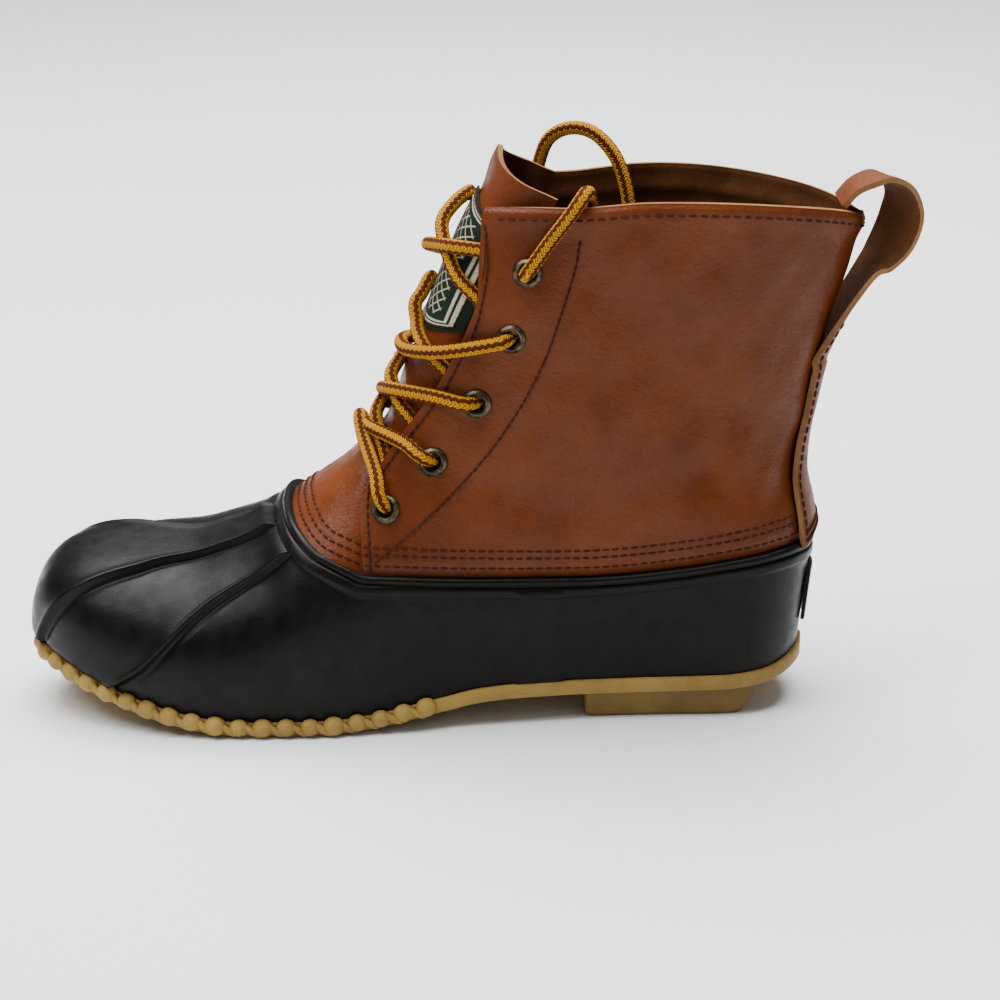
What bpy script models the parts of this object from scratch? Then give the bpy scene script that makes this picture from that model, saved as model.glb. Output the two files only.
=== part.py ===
"""Left duck boot: a rubber bottom on a gum chain sole, under a laced leather shaft.

The boot stands empty on its heel and ball. The toe points to -X, the lateral side to -Y and
+Z is up. The origin is the middle of the heel block's flat bottom. All sizes are metres.
"""
import math

import bpy
import numpy as np

for stale in list(bpy.data.objects):
    bpy.data.objects.remove(stale, do_unlink=True)

# Driving dimensions of the whole boot
OUTSOLE_LENGTH = 0.290
HEEL_SETBACK = 0.053
BALL_WIDTH = 0.098
HEEL_WIDTH = 0.067
TOE_HEIGHT = 0.0572
RIM_HEIGHT = 0.060
COLLAR_HEIGHT = 0.197
SHAFT_WIDTH = 0.0755
BACK_LEAN = 0.0225
TOE_SPRING = 0.0180
BALL_FEATHER = 0.0056
ARCH_LIFT = 0.0102

# Walls and clearances
GAP = 0.0003
LEATHER = 0.0022
RUBBER = 0.0024
RIM_BAND = 0.0070
RIM_PROUD = 0.0012
FLANGE_DEPTH = 0.0120
FLANGE_CLEARANCE = 0.0006
RIDGE_STEP = 0.0011

# Gum sole and heel
BEADS = 20
BEAD_END = -0.085
BEAD_REACH = 0.0036
BEAD_NECK = 0.0021
BAND_THICKNESS = 0.0056
BAND_REACH = 0.0017
SOLE_EDGE = 0.0040
LUG_DEPTH = 0.0018
LUG_PERIOD = 5
LUG_HIGH = 2
HEEL_BLOCK_FRONT = -0.031
HEEL_BLOCK_FLAT = 0.026
HEEL_BLOCK_BACK = 0.034
HEEL_BLOCK_INSET = 0.0020
HEEL_BLOCK_NOSE = 0.0030
HEEL_GROOVE = 0.0012
INSOLE_THICKNESS = 0.0030
INSOLE_LIFT = 0.0007
INSOLE_CLEARANCE = 0.0030

# Hardware, lace and strap
EYELET_RADIUS = 0.0054
EYELET_BORE = 0.0025
EYELET_BARREL = 0.0029
EYELET_HEIGHT = 0.0010
EYELET_HOLE = 0.0034
LACE_DIAMETER = 0.0052
STRAP_WIDTH = 0.0215
STRAP_THICKNESS = 0.0022
TONGUE_THICKNESS = 0.0020
LABEL_THICKNESS = 0.0008
PLATE_WIDTH = 0.024
PLATE_HEIGHT = 0.021
PLATE_BOTTOM = 0.031
PLATE_THICKNESS = 0.0014

# Shape of the skin's sections
TOP_POWER = 2.7
SHAFT_POWER = 2.5
TOE_SIDE_POWER = 3.3
TOE_ROUNDING = 0.070
TOE_POWER = 2.5
HEEL_ROUNDING = 0.036
SHAFT_ROUNDING = 0.081
TOE_TILT = 0.14
BASE_TUCK = 0.05

# Top line of the side view.
# along: share of OUTSOLE_LENGTH from the heel's back; toe: share of TOE_HEIGHT;
# rise: share of the height between the toe and the collar
CREST = (
    (1.004, 0.38, 0.000), (1.001, 0.52, 0.000), (0.997, 0.64, 0.000), (0.991, 0.74, 0.000),
    (0.978, 0.85, 0.000), (0.955, 0.93, 0.000), (0.925, 0.97, 0.000), (0.887, 0.99, 0.000),
    (0.849, 1.00, 0.000), (0.798, 1.00, 0.006), (0.747, 1.00, 0.035), (0.704, 1.00, 0.072),
    (0.684, 1.00, 0.105), (0.665, 1.00, 0.152), (0.627, 1.00, 0.222), (0.590, 1.00, 0.290),
    (0.560, 1.00, 0.375), (0.546, 1.00, 0.450), (0.520, 1.00, 0.590), (0.485, 1.00, 0.780),
    (0.460, 1.00, 0.905), (0.436, 1.00, 1.005), (0.411, 1.00, 1.125), (0.375, 1.00, 1.310),
    (0.260, 1.00, 1.840), (-0.024, 1.00, 3.200))
# Back line. height: share of COLLAR_HEIGHT; lean: share of BACK_LEAN behind the heel's back
BACK = (
    (0.00, -0.11), (0.08, -0.08), (0.13, -0.04), (0.20, 0.02), (0.31, 0.10), (0.38, 0.02),
    (0.46, -0.12), (0.52, -0.09), (0.58, 0.01), (0.675, 0.19), (0.77, 0.40), (0.87, 0.67),
    (0.94, 0.845), (1.015, 1.02), (1.17, 1.40))
# Plan outline. lateral and medial: shares of BALL_WIDTH; heel: share of HEEL_WIDTH for both
PLAN = (
    (1.004, 0.343, 0.404, 0.0), (0.942, 0.389, 0.429, 0.0), (0.884, 0.424, 0.455, 0.0),
    (0.815, 0.470, 0.475, 0.0), (0.729, 0.498, 0.478, 0.0), (0.661, 0.498, 0.460, 0.0),
    (0.558, 0.465, 0.399, 0.0), (0.473, 0.300, 0.220, 0.18), (0.387, 0.130, 0.060, 0.375),
    (0.284, 0.030, 0.000, 0.470), (0.180, 0.000, 0.000, 0.500), (-0.024, 0.000, 0.000, 0.500))
# Shaft outline. height: share of COLLAR_HEIGHT; lateral and medial: shares of SHAFT_WIDTH
SHAFT = (
    (0.305, 0.505, 0.475), (0.51, 0.465, 0.450), (0.66, 0.465, 0.450), (0.81, 0.485, 0.465),
    (1.00, 0.510, 0.490), (1.17, 0.530, 0.500))
# Feather edge, where the rubber meets the gum. spring: share of TOE_SPRING; arch: of ARCH_LIFT
FEATHER = (
    (1.004, 1.00, 0.00), (0.969, 0.866, 0.00), (0.938, 0.70, 0.00), (0.901, 0.505, 0.00),
    (0.842, 0.26, 0.00), (0.801, 0.13, 0.00), (0.757, 0.035, 0.00), (0.712, 0.00, 0.00),
    (0.625, 0.00, 0.00), (0.572, 0.00, 0.115), (0.521, 0.00, 0.365), (0.473, 0.00, 0.635),
    (0.428, 0.00, 0.885), (0.380, 0.00, 0.98), (0.284, 0.00, 1.00), (0.113, 0.00, 1.07),
    (0.058, 0.00, 1.16), (0.024, 0.00, 1.36), (0.000, 0.00, 1.60), (-0.024, 0.00, 1.80))
# Rim of the rubber, back to front. out: share of BALL_WIDTH / 2; up: share of RIM_HEIGHT
RIM = (
    (-0.008, 0.00, 1.063), (0.003, 0.31, 1.080), (0.018, 0.45, 1.090), (0.038, 0.56, 1.087),
    (0.077, 0.67, 1.068), (0.140, 0.695, 1.020), (0.247, 0.70, 0.963), (0.334, 0.73, 0.960),
    (0.420, 0.786, 0.978), (0.4925, 0.83, 0.998), (0.564, 0.855, 1.022), (0.586, 0.838, 1.057),
    (0.618, 0.78, 1.125), (0.6335, 0.72, 1.167), (0.651, 0.578, 1.230), (0.6664, 0.31, 1.283),
    (0.673, 0.00, 1.290))
# Upper's top edge from the back seam: collar, throat edge, then the vamp's top under the lace.
# out: share of BALL_WIDTH / 2; up: share of COLLAR_HEIGHT
COLLAR = (
    (-0.065, 0.00, 0.947), (-0.0575, 0.12, 0.947), (-0.0065, 0.374, 0.970), (0.069, 0.578, 0.991),
    (0.143, 0.689, 1.003), (0.215, 0.711, 1.0055), (0.264, 0.685, 0.999), (0.300, 0.6545, 0.994),
    (0.3486, 0.578, 0.993), (0.398, 0.400, 0.986))
THROAT = (
    (0.398, 0.400, 0.986), (0.4024, 0.505, 0.9015), (0.4116, 0.545, 0.8315), (0.4264, 0.560, 0.768),
    (0.4647, 0.558, 0.654), (0.495, 0.535, 0.587), (0.525, 0.521, 0.524), (0.5548, 0.539, 0.4746),
    (0.569, 0.560, 0.452))
VAMP_TOP = ((0.569, 0.560, 0.452), (0.560, 0.380, 0.500), (0.550, 0.180, 0.545), (0.546, 0.00, 0.560))
# Eyelets, top to bottom, by the same columns
EYELETS = ((0.357, 0.626, 0.875), (0.378, 0.638, 0.752), (0.421, 0.640, 0.629), (0.475, 0.657, 0.519),
           (0.537, 0.693, 0.426))


class Curve:
    """Cubic through a table's rows that keeps their rises and falls, straight past its ends."""

    def __init__(self, keys, values):
        order = np.argsort(keys)
        self.keys = np.array(keys, float)[order]
        self.values = np.array(values, float)[order]
        gap = np.diff(self.keys)
        slope = np.diff(self.values) / gap
        inner = np.zeros(len(slope) - 1)
        same = slope[:-1] * slope[1:] > 0
        before, after = slope[:-1][same], slope[1:][same]
        first, second = 2 * gap[1:] + gap[:-1], gap[1:] + 2 * gap[:-1]
        inner[same] = (first + second)[same] / (first[same] / before + second[same] / after)
        self.slopes = np.concatenate(([slope[0]], inner, [slope[-1]]))

    def __call__(self, query):
        query = np.asarray(query, float)
        i = np.clip(np.searchsorted(self.keys, query) - 1, 0, len(self.keys) - 2)
        gap = self.keys[i + 1] - self.keys[i]
        t = (query - self.keys[i]) / gap
        c = np.clip(t, 0.0, 1.0)
        rise0, rise1 = self.slopes[i] * gap, self.slopes[i + 1] * gap
        inside = ((2 * c**3 - 3 * c**2 + 1) * self.values[i] + (c**3 - 2 * c**2 + c) * rise0
                  + (3 * c**2 - 2 * c**3) * self.values[i + 1] + (c**3 - c**2) * rise1)
        return inside + np.minimum(t, 0.0) * rise0 + np.maximum(t - 1.0, 0.0) * rise1


def smooth(value, start, end):
    """Ease from 0 at start to 1 at end."""
    t = np.clip((np.asarray(value, float) - start) / (end - start), 0.0, 1.0)
    return t * t * (3.0 - 2.0 * t)


def column(rows, index):
    return np.array([row[index] for row in rows], float)


def station(along):
    """World x of a share of the outsole's length, counted from the heel's back."""
    return HEEL_SETBACK - np.asarray(along, float) * OUTSOLE_LENGTH


RISE = COLLAR_HEIGHT - TOE_HEIGHT
crest_line = Curve(station(column(CREST, 0)), column(CREST, 1) * TOE_HEIGHT + column(CREST, 2) * RISE)
back_line = Curve(column(BACK, 0) * COLLAR_HEIGHT, HEEL_SETBACK + column(BACK, 1) * BACK_LEAN)
plan_lateral = Curve(station(column(PLAN, 0)), column(PLAN, 1) * BALL_WIDTH + column(PLAN, 3) * HEEL_WIDTH)
plan_medial = Curve(station(column(PLAN, 0)), column(PLAN, 2) * BALL_WIDTH + column(PLAN, 3) * HEEL_WIDTH)
shaft_lateral = Curve(column(SHAFT, 0) * COLLAR_HEIGHT, column(SHAFT, 1) * SHAFT_WIDTH)
shaft_medial = Curve(column(SHAFT, 0) * COLLAR_HEIGHT, column(SHAFT, 2) * SHAFT_WIDTH)
feather_line = Curve(station(column(FEATHER, 0)),
                     BALL_FEATHER + column(FEATHER, 1) * TOE_SPRING + column(FEATHER, 2) * ARCH_LIFT)
TOE_TIP = float(station(1.0))
WIDEST_SHARE = 0.2
WIDEST_LIMIT = 0.1
TILT_START = float(station(0.56))
TILT_FULL = float(station(0.74))


def skin_section(x, z):
    """Half-width and middle of the boot's outer form at side-view points, below 0 outside it."""
    crest, feather = crest_line(x), feather_line(x)
    widest = feather + WIDEST_SHARE * np.clip(crest - feather, 0.0, WIDEST_LIMIT)
    height = np.maximum((z - widest) / np.maximum(crest - widest, 1e-6), 0.0)
    below = np.clip((widest - z) / np.maximum(widest - feather, 1e-6), 0.0, 1.5)
    top = 1.0 - height ** TOP_POWER
    front = 1.0 - np.clip(1.0 - (x - TOE_TIP) / TOE_ROUNDING, 0.0, 2.0) ** TOE_POWER
    up = smooth(z, 0.25 * COLLAR_HEIGHT, 0.8 * COLLAR_HEIGHT)
    rounding = HEEL_ROUNDING + (SHAFT_ROUNDING - HEEL_ROUNDING) * up
    rear = 1.0 - np.clip(1.0 - (back_line(z) - x) / rounding, 0.0, 2.0) ** (2.4 - 0.6 * up)
    shaft = smooth(z, 0.18 * COLLAR_HEIGHT, 0.61 * COLLAR_HEIGHT)
    lateral = plan_lateral(x) * (1.0 - shaft) + shaft_lateral(z) * shaft
    medial = plan_medial(x) * (1.0 - shaft) + shaft_medial(z) * shaft
    half = 0.5 * (lateral + medial) * (1.0 - BASE_TUCK * below ** 2)
    forefoot = smooth(-x, -TILT_START, -TILT_FULL)
    power = SHAFT_POWER + (TOE_SIDE_POWER - SHAFT_POWER) * forefoot
    inside = (top > 0) & (front > 0) & (rear > 0)
    width = (half * np.maximum(top, 0.0) ** (1.0 / power) * np.maximum(front, 0.0) ** (1.0 / 2.2)
             * np.maximum(rear, 0.0) ** (1.0 / (2.1 - 0.35 * up)))
    return np.where(inside, width, -1.0), 0.5 * (medial - lateral)


def inside_skin(points):
    """True where points lie inside the boot's outer form."""
    x, y, z = points[..., 0], points[..., 1], points[..., 2]
    lean = TOE_TILT * smooth(-x, -TILT_START, -TILT_FULL)
    crest, feather = crest_line(x), feather_line(x)
    share = np.clip((z - feather) / np.maximum(crest - feather, 1e-6), 0.0, 1.0)
    width, middle = skin_section(x, z - lean * y * share)
    return np.abs(y - middle) < width


def reach(anchors, directions, limit=0.16):
    """Points where rays from inside leave the skin."""
    low = np.zeros(anchors.shape[:-1])
    high = np.full(anchors.shape[:-1], limit)
    for _ in range(30):
        middle = 0.5 * (low + high)
        hit = inside_skin(anchors + directions * middle[..., None])
        low = np.where(hit, middle, low)
        high = np.where(hit, high, middle)
    return anchors + directions * low[..., None]


def unit(vectors):
    return vectors / np.maximum(np.linalg.norm(vectors, axis=-1, keepdims=True), 1e-12)


def anchor_of(points):
    """A point deep inside the boot for each point near its skin, moving smoothly with it."""
    x, z = points[..., 0], points[..., 2]
    foot_x = np.clip(x, station(0.86), station(0.13))
    foot_z = feather_line(foot_x) + 0.3 * TOE_HEIGHT
    shaft_x = station(0.20) + 0.25 * (x - station(0.20))
    climb = smooth(z, 0.30 * COLLAR_HEIGHT, 0.52 * COLLAR_HEIGHT)
    shaft_z = np.maximum(z - 0.004, foot_z)
    anchor_x = foot_x * (1.0 - climb) + shaft_x * climb
    anchor_z = foot_z * (1.0 - climb) + shaft_z * climb
    return np.stack([anchor_x, np.zeros_like(x), anchor_z], -1)


def onto_skin(points, offset=0.0):
    """Cast points out from the boot's inside onto its skin, plus an offset along the normal."""
    anchors = anchor_of(points)
    aim = unit(points - anchors)
    side = unit(np.cross(aim, np.array([0.31, 0.11, 0.94])))
    lift = np.cross(aim, side)
    spread = 0.012
    hits = [reach(anchors, unit(aim + spread * (side * a + lift * b)))
            for a, b in ((0, 0), (1, 0), (-1, 0), (0, 1), (0, -1))]
    normal = unit(np.cross(hits[1] - hits[2], hits[3] - hits[4]))
    normal *= np.sign(np.sum(normal * aim, axis=-1, keepdims=True))
    return hits[0] + normal * np.asarray(offset)[..., None], normal


def through(points, count):
    """Evenly spaced points on a smooth curve through the given ones."""
    pts = np.asarray(points, float)
    ends = np.vstack([2 * pts[0] - pts[1], pts, 2 * pts[-1] - pts[-2]])
    dense = []
    for p0, p1, p2, p3 in zip(ends, ends[1:], ends[2:], ends[3:]):
        for t in np.linspace(0.0, 1.0, 16, endpoint=False):
            dense.append(0.5 * (2 * p1 + (p2 - p0) * t + (2 * p0 - 5 * p1 + 4 * p2 - p3) * t**2
                                + (3 * p1 - p0 - 3 * p2 + p3) * t**3))
    dense.append(pts[-1])
    dense = np.array(dense)
    run = np.concatenate(([0.0], np.cumsum(np.linalg.norm(np.diff(dense, axis=0), axis=1))))
    wanted = np.asarray(count, float) if np.ndim(count) else np.linspace(0.0, 1.0, int(count))
    return np.stack([np.interp(wanted * run[-1], run, dense[:, k]) for k in range(3)], -1)


def side_points(rows, side, height):
    """Table rows (along, out, up) as world points on the lateral (-1) or medial (+1) side."""
    return np.stack([station(column(rows, 0)), side * column(rows, 1) * BALL_WIDTH / 2,
                     column(rows, 2) * height], -1)


def skin_trail(rows, side, height, shares):
    """Points at shares of the length of a curve through table rows, laid on the skin."""
    rough = onto_skin(side_points(rows, side, height))[0]
    return onto_skin(through(rough, shares))[0]


# Columns round one side, from the back seam to the front middle. Each row gives shares of the
# rim's length, of the upper's top edge and of the feather edge, and how many columns lead to it.
COLUMNS = (
    ("back", 0.000, 0.000, 0.000, 0), ("collar_front", 0.520, 0.480, 0.400, 9),
    ("quarter_edge", 0.760, 0.870, 0.620, 6), ("ridge_outer", 0.862, 0.925, 0.855, 2),
    ("ridge_inner", 0.945, 0.965, 0.962, 2), ("front", 1.000, 1.000, 1.000, 2))
STEP_GAP = 0.006
QUARTER_EDGE = 0.760
RIDGE_OUTER = 0.862
RIDGE_INNER = 0.945


def half_columns():
    """Rim, top and feather shares of one side's columns, with a close pair at each step."""
    rows = [COLUMNS[0][1:4]]
    for before, after in zip(COLUMNS, COLUMNS[1:]):
        for k in range(1, after[4] + 1):
            t = k / after[4]
            rows.append(tuple(before[c] * (1 - t) + after[c] * t for c in (1, 2, 3)))
        if after[0] in ("quarter_edge", "ridge_outer", "ridge_inner"):
            rows.append(tuple(after[c] + STEP_GAP for c in (1, 2, 3)))
    return np.array(rows)


HALF = half_columns()
RIM_SHARES, TOP_SHARES, FEATHER_SHARES = HALF[:, 0], HALF[:, 1], HALF[:, 2]


def ring(lateral, medial):
    """Join the two sides' columns into one closed ring, back to lateral to front to medial."""
    return np.concatenate([lateral, medial[-2:0:-1]], axis=0)


def feather_trail(side):
    """The feather edge of one side, back to toe tip, as dense points on the skin."""
    along = np.concatenate([np.linspace(0.0, 0.12, 14), np.linspace(0.14, 0.86, 24),
                            np.linspace(0.88, 1.0, 14)])
    x = station(along)
    z = feather_line(x)
    z[0], z[-1] = feather_line(HEEL_SETBACK), feather_line(TOE_TIP)
    width, middle = skin_section(np.clip(x, TOE_TIP + 1e-5, back_line(z) - 1e-5), z)
    y = middle + side * np.maximum(width, 0.0)
    x = np.minimum(x, back_line(z))
    y[0], y[-1] = 0.0, 0.5 * (plan_medial(TOE_TIP) - plan_lateral(TOE_TIP))
    return np.stack([x, y, z], -1)


def spaced(points, shares):
    """Points at shares of a polyline's length."""
    run = np.concatenate(([0.0], np.cumsum(np.linalg.norm(np.diff(points, axis=0), axis=1))))
    return np.stack([np.interp(shares * run[-1], run, points[:, k]) for k in range(3)], -1)


def mesh_object(name, points, faces, color, roughness, metallic=0.0):
    """One named object from points and faces, with its own Principled material."""
    mesh = bpy.data.meshes.new(name)
    mesh.from_pydata([tuple(map(float, p)) for p in points], [], faces)
    mesh.update()
    material = bpy.data.materials.new(name + "_finish")
    material.use_nodes = True
    shader = material.node_tree.nodes["Principled BSDF"]
    shader.inputs["Base Color"].default_value = (*color, 1.0)
    shader.inputs["Roughness"].default_value = roughness
    shader.inputs["Metallic"].default_value = metallic
    mesh.materials.append(material)
    mesh.shade_smooth()
    obj = bpy.data.objects.new(name, mesh)
    bpy.context.scene.collection.objects.link(obj)
    return obj


def strip_faces(rows, columns, closed, start=0, flip=False):
    """Quads of a grid of points laid row by row."""
    faces = []
    for r in range(rows - 1):
        for c in range(columns if closed else columns - 1):
            a = start + r * columns + c
            b = start + r * columns + (c + 1) % columns
            quad = (a, b, b + columns, a + columns)
            faces.append(quad[::-1] if flip else quad)
    return faces


def ring_solid(name, loops, color, roughness, cap=None):
    """A solid from closed loops of equal length; the last joins the first, or both ends are capped."""
    loops = [np.asarray(loop) for loop in loops]
    count = len(loops[0])
    points = np.concatenate(loops)
    faces = strip_faces(len(loops), count, True)
    last = (len(loops) - 1) * count
    if cap is None:
        for c in range(count):
            n = (c + 1) % count
            faces.append((last + c, last + n, n, c))
    else:
        half = count // 2
        for base, flip in ((0, True), (last, False)):
            faces.append(tuple([base, base + 1, base + count - 1][::-1 if flip else 1]))
            for k in range(1, half - 1):
                quad = (base + k, base + k + 1, base + count - k - 1, base + count - k)
                faces.append(quad[::-1] if flip else quad)
            tail = (base + half - 1, base + half, base + half + 1)
            faces.append(tail[::-1] if flip else tail)
    obj = mesh_object(name, points, faces, color, roughness)
    face_outwards(obj)
    return obj


def face_outwards(obj):
    """Turn a closed mesh's faces outwards, judged by the sign of its volume."""
    mesh = obj.data
    mesh.calc_loop_triangles()
    corners = np.array([vertex.co[:] for vertex in mesh.vertices])
    triangles = np.array([t.vertices[:] for t in mesh.loop_triangles])
    a, b, c = corners[triangles[:, 0]], corners[triangles[:, 1]], corners[triangles[:, 2]]
    if np.sum(a * np.cross(b, c)) < 0:
        mesh.flip_normals()


RUBBER_COLOR = (0.035, 0.032, 0.030)
GUM_COLOR = (0.48, 0.30, 0.10)
HEEL_GUM_COLOR = (0.40, 0.24, 0.08)
LEATHER_COLOR = (0.30, 0.095, 0.040)
STRAP_COLOR = (0.27, 0.10, 0.05)
BRASS_COLOR = (0.10, 0.085, 0.045)
LACE_COLOR = (0.62, 0.34, 0.03)
LABEL_COLOR = (0.012, 0.030, 0.018)
INSOLE_COLOR = (0.22, 0.16, 0.10)

SHELL_ROWS = (0.0, 0.10, 0.22, 0.36, 0.52, 0.68, 0.84, 1.0)
LEDGE_SLOPE = 0.0012
LEDGE_INSIDE = 0.0011
FLANGE_SHIFT = 0.0028
UPPER_ROWS = (0.05, 0.14, 0.28, 0.42, 0.56, 0.70, 0.81, 0.91, 1.0)
LEATHER_BULGE = 0.16
VAMP_STEP = 0.0016


def both_sides(trail):
    """Stack a per-side function's results for the lateral and medial sides."""
    return [trail(-1), trail(1)]


def path_between(starts, ends, samples=26):
    """Skin paths, one for each pair of points, evenly sampled over the skin."""
    t = np.linspace(0.0, 1.0, samples)[None, :, None]
    guess = starts[:, None, :] * (1.0 - t) + ends[:, None, :] * t
    dense = onto_skin(guess)[0]
    dense[:, 0], dense[:, -1] = starts, ends
    return dense


def along_paths(paths, distances):
    """A point on each path at its own distance from the path's start."""
    result = []
    for path, distance in zip(paths, distances):
        run = np.concatenate(([0.0], np.cumsum(np.linalg.norm(np.diff(path, axis=0), axis=1))))
        result.append([np.interp(distance, run, path[:, k]) for k in range(3)])
    return np.array(result)


def lengths(paths):
    return np.array([np.sum(np.linalg.norm(np.diff(path, axis=0), axis=1)) for path in paths])


def medial_shares(shares):
    """The medial side's inner ridge lies a little nearer the middle."""
    moved = shares.copy()
    near = (shares > RIDGE_INNER - 0.001) & (shares < RIDGE_INNER + 2 * STEP_GAP)
    moved[near] += 0.018
    return moved


def side_shares(side):
    return (lambda shares: shares) if side < 0 else medial_shares


def rim_points(side):
    return skin_trail(RIM, side, RIM_HEIGHT, side_shares(side)(RIM_SHARES))


def top_edge(side):
    """The upper's top edge of one side at its columns: collar, throat edge, then the vamp's top."""
    rows = COLLAR + THROAT[1:] + VAMP_TOP[1:]
    rough = onto_skin(side_points(rows, side, COLLAR_HEIGHT))[0]
    parts = [through(rough[:len(COLLAR)], 60), through(rough[len(COLLAR) - 1:-3], 60)[1:],
             through(rough[-4:], 20)[1:]]
    spans = [0.48, 0.39, 0.13]
    keys, start = [], 0.0
    for part, span in zip(parts, spans):
        count = len(part)
        keys.extend(start + span * (np.arange(count) + (0 if start == 0.0 else 1))
                    / (count - (1 if start == 0.0 else 0)))
        start += span
    line = np.concatenate(parts)
    points = np.stack([np.interp(TOP_SHARES, keys, line[:, k]) for k in range(3)], -1)
    return onto_skin(points)[0]


RIMS = both_sides(rim_points)
TOPS = both_sides(top_edge)
FEATHERS = both_sides(lambda side: spaced(feather_trail(side), side_shares(side)(FEATHER_SHARES)))
RIM_RING = ring(*RIMS)
TOP_RING = ring(*TOPS)
FEATHER_RING = ring(*FEATHERS)
LOWER_PATHS = path_between(RIM_RING, FEATHER_RING)
UPPER_PATHS = path_between(RIM_RING, TOP_RING)
LOWER_LENGTHS = lengths(LOWER_PATHS)
UPPER_LENGTHS = lengths(UPPER_PATHS)
SHARE_RING = ring(RIM_SHARES[:, None], RIM_SHARES[:, None])[:, 0]


def lay(points, offset):
    """Points on the skin moved along its normal."""
    return onto_skin(points, np.broadcast_to(offset, points.shape[:-1]))[0]


def ridge_lift(share):
    """How many ridge steps the rubber stands proud at each column."""
    outer = (share > RIDGE_OUTER + 0.5 * STEP_GAP).astype(float)
    inner = (share > RIDGE_INNER + 0.5 * STEP_GAP).astype(float)
    return outer + inner


def rubber_shell():
    """The moulded rubber bottom, open at its rim and underneath."""
    ledge = RIM_BAND + LEDGE_SLOPE
    ridges = ridge_lift(SHARE_RING) * RIDGE_STEP
    outer, inner = [], []
    for k, share in enumerate(SHELL_ROWS):
        distance = LOWER_LENGTHS - share * (LOWER_LENGTHS - ledge)
        points = along_paths(LOWER_PATHS, distance) if share > 0 else FEATHER_RING
        fade = min(1.0, k / 2.0)
        outer.append(lay(points, ridges * fade) if share > 0 else FEATHER_RING)
        if k % 2 == 0 or share == 1.0:
            inner.append(lay(points, -RUBBER))
    band = along_paths(LOWER_PATHS, np.full(len(LOWER_LENGTHS), RIM_BAND))
    outer.append(lay(band, RIM_PROUD))
    outer.append(lay(RIM_RING, RIM_PROUD))
    inner.append(lay(along_paths(LOWER_PATHS, np.full(len(LOWER_LENGTHS), RIM_BAND - LEDGE_INSIDE)),
                     RIM_PROUD - RUBBER))
    inner.append(lay(RIM_RING, RIM_PROUD - RUBBER))
    inner[0][:, 2] = np.maximum(inner[0][:, 2], FEATHER_RING[:, 2])
    return ring_solid("rubber_shell", outer + inner[::-1], RUBBER_COLOR, 0.45)


def upper():
    """Vamp and quarters as one hollow leather solid, open at collar, throat and underneath."""
    columns = len(SHARE_RING)
    vamp = SHARE_RING > QUARTER_EDGE + 0.5 * STEP_GAP
    under = SHARE_RING > QUARTER_EDGE - 0.05
    in_rim = RIM_PROUD - RUBBER - FLANGE_CLEARANCE
    in_shell = -RUBBER - FLANGE_CLEARANCE
    levels = [
        (along_paths(LOWER_PATHS, np.full(columns, FLANGE_DEPTH)), np.full(columns, in_shell)),
        (along_paths(LOWER_PATHS, np.full(columns, RIM_BAND - FLANGE_SHIFT + 0.0004)),
         np.full(columns, in_shell)),
        (along_paths(LOWER_PATHS, np.full(columns, RIM_BAND - 2 * FLANGE_SHIFT)),
         np.full(columns, in_rim)),
        (RIM_RING, np.full(columns, in_rim))]
    for share in UPPER_ROWS:
        points = along_paths(UPPER_PATHS, UPPER_LENGTHS * share) if share < 1 else TOP_RING
        grown = smooth(share, 0.0, LEATHER_BULGE)
        step = np.where(vamp, -VAMP_STEP, 0.0)
        levels.append((points, in_rim + (step - in_rim) * grown))
    outer, inner = [], []
    for k, (points, offset) in enumerate(levels):
        outer.append(lay(points, offset))
        grown = smooth(UPPER_ROWS[k - 4], 0.0, LEATHER_BULGE) if k > 3 else 0.0
        buried = np.where(under & ~vamp, -VAMP_STEP * grown, 0.0)
        inner.append(lay(points, offset + buried - LEATHER))
    return ring_solid("upper", outer + inner[::-1], LEATHER_COLOR, 0.5)



def outward(points):
    """Level outward directions of a closed outline that runs clockwise seen from above."""
    tangent = np.roll(points, -1, axis=0) - np.roll(points, 1, axis=0)
    return unit(np.stack([-tangent[:, 1], tangent[:, 0], np.zeros(len(points))], -1))


BAND_STATIONS = 22
BEAD_STEPS = 3


def sole_outline(side):
    """Feather points of one side, back to toe: even along the band, three to a bead in front."""
    trail = feather_trail(side)
    run = np.concatenate(([0.0], np.cumsum(np.linalg.norm(np.diff(trail, axis=0), axis=1))))
    turn = np.interp(-BEAD_END, -trail[:, 0], run) / run[-1]
    shares = np.concatenate([np.linspace(0.0, turn, BAND_STATIONS, endpoint=False),
                             np.linspace(turn, 1.0, BEADS * BEAD_STEPS + 1)])
    return spaced(trail, shares)


def outsole():
    """Gum sole under the rubber: bead row round the forepart, smooth band behind, lugs below."""
    outline = ring(sole_outline(-1), sole_outline(1))
    normal = outward(outline)
    count = len(outline)
    half = count // 2
    from_toe = np.abs(np.arange(count) - half)
    beaded = from_toe <= BEADS * BEAD_STEPS
    knob = np.where(from_toe % BEAD_STEPS == 1, BEAD_NECK, BEAD_REACH)
    reach_out = np.where(beaded, knob, BAND_REACH)[:, None]
    level = np.zeros((count, 3))
    level[:, 2] = 1.0
    bottom = outline - level * BAND_THICKNESS
    lug = beaded & (from_toe % LUG_PERIOD < LUG_HIGH) & (from_toe > LUG_PERIOD)
    tread = bottom - normal * SOLE_EDGE + level * np.where(lug, LUG_DEPTH, 0.0)[:, None]
    loops = [
        outline + normal * GAP - level * GAP,
        outline + normal * (GAP + 0.4 * reach_out) + level * 0.55 * reach_out,
        outline + normal * (GAP + reach_out) - level * 0.3 * BAND_THICKNESS,
        outline + normal * (GAP + 0.5 * reach_out) - level * BAND_THICKNESS,
        bottom - normal * 0.5 * SOLE_EDGE,
        tread]
    return ring_solid("outsole", loops, GUM_COLOR, 0.6, cap=True)


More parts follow.
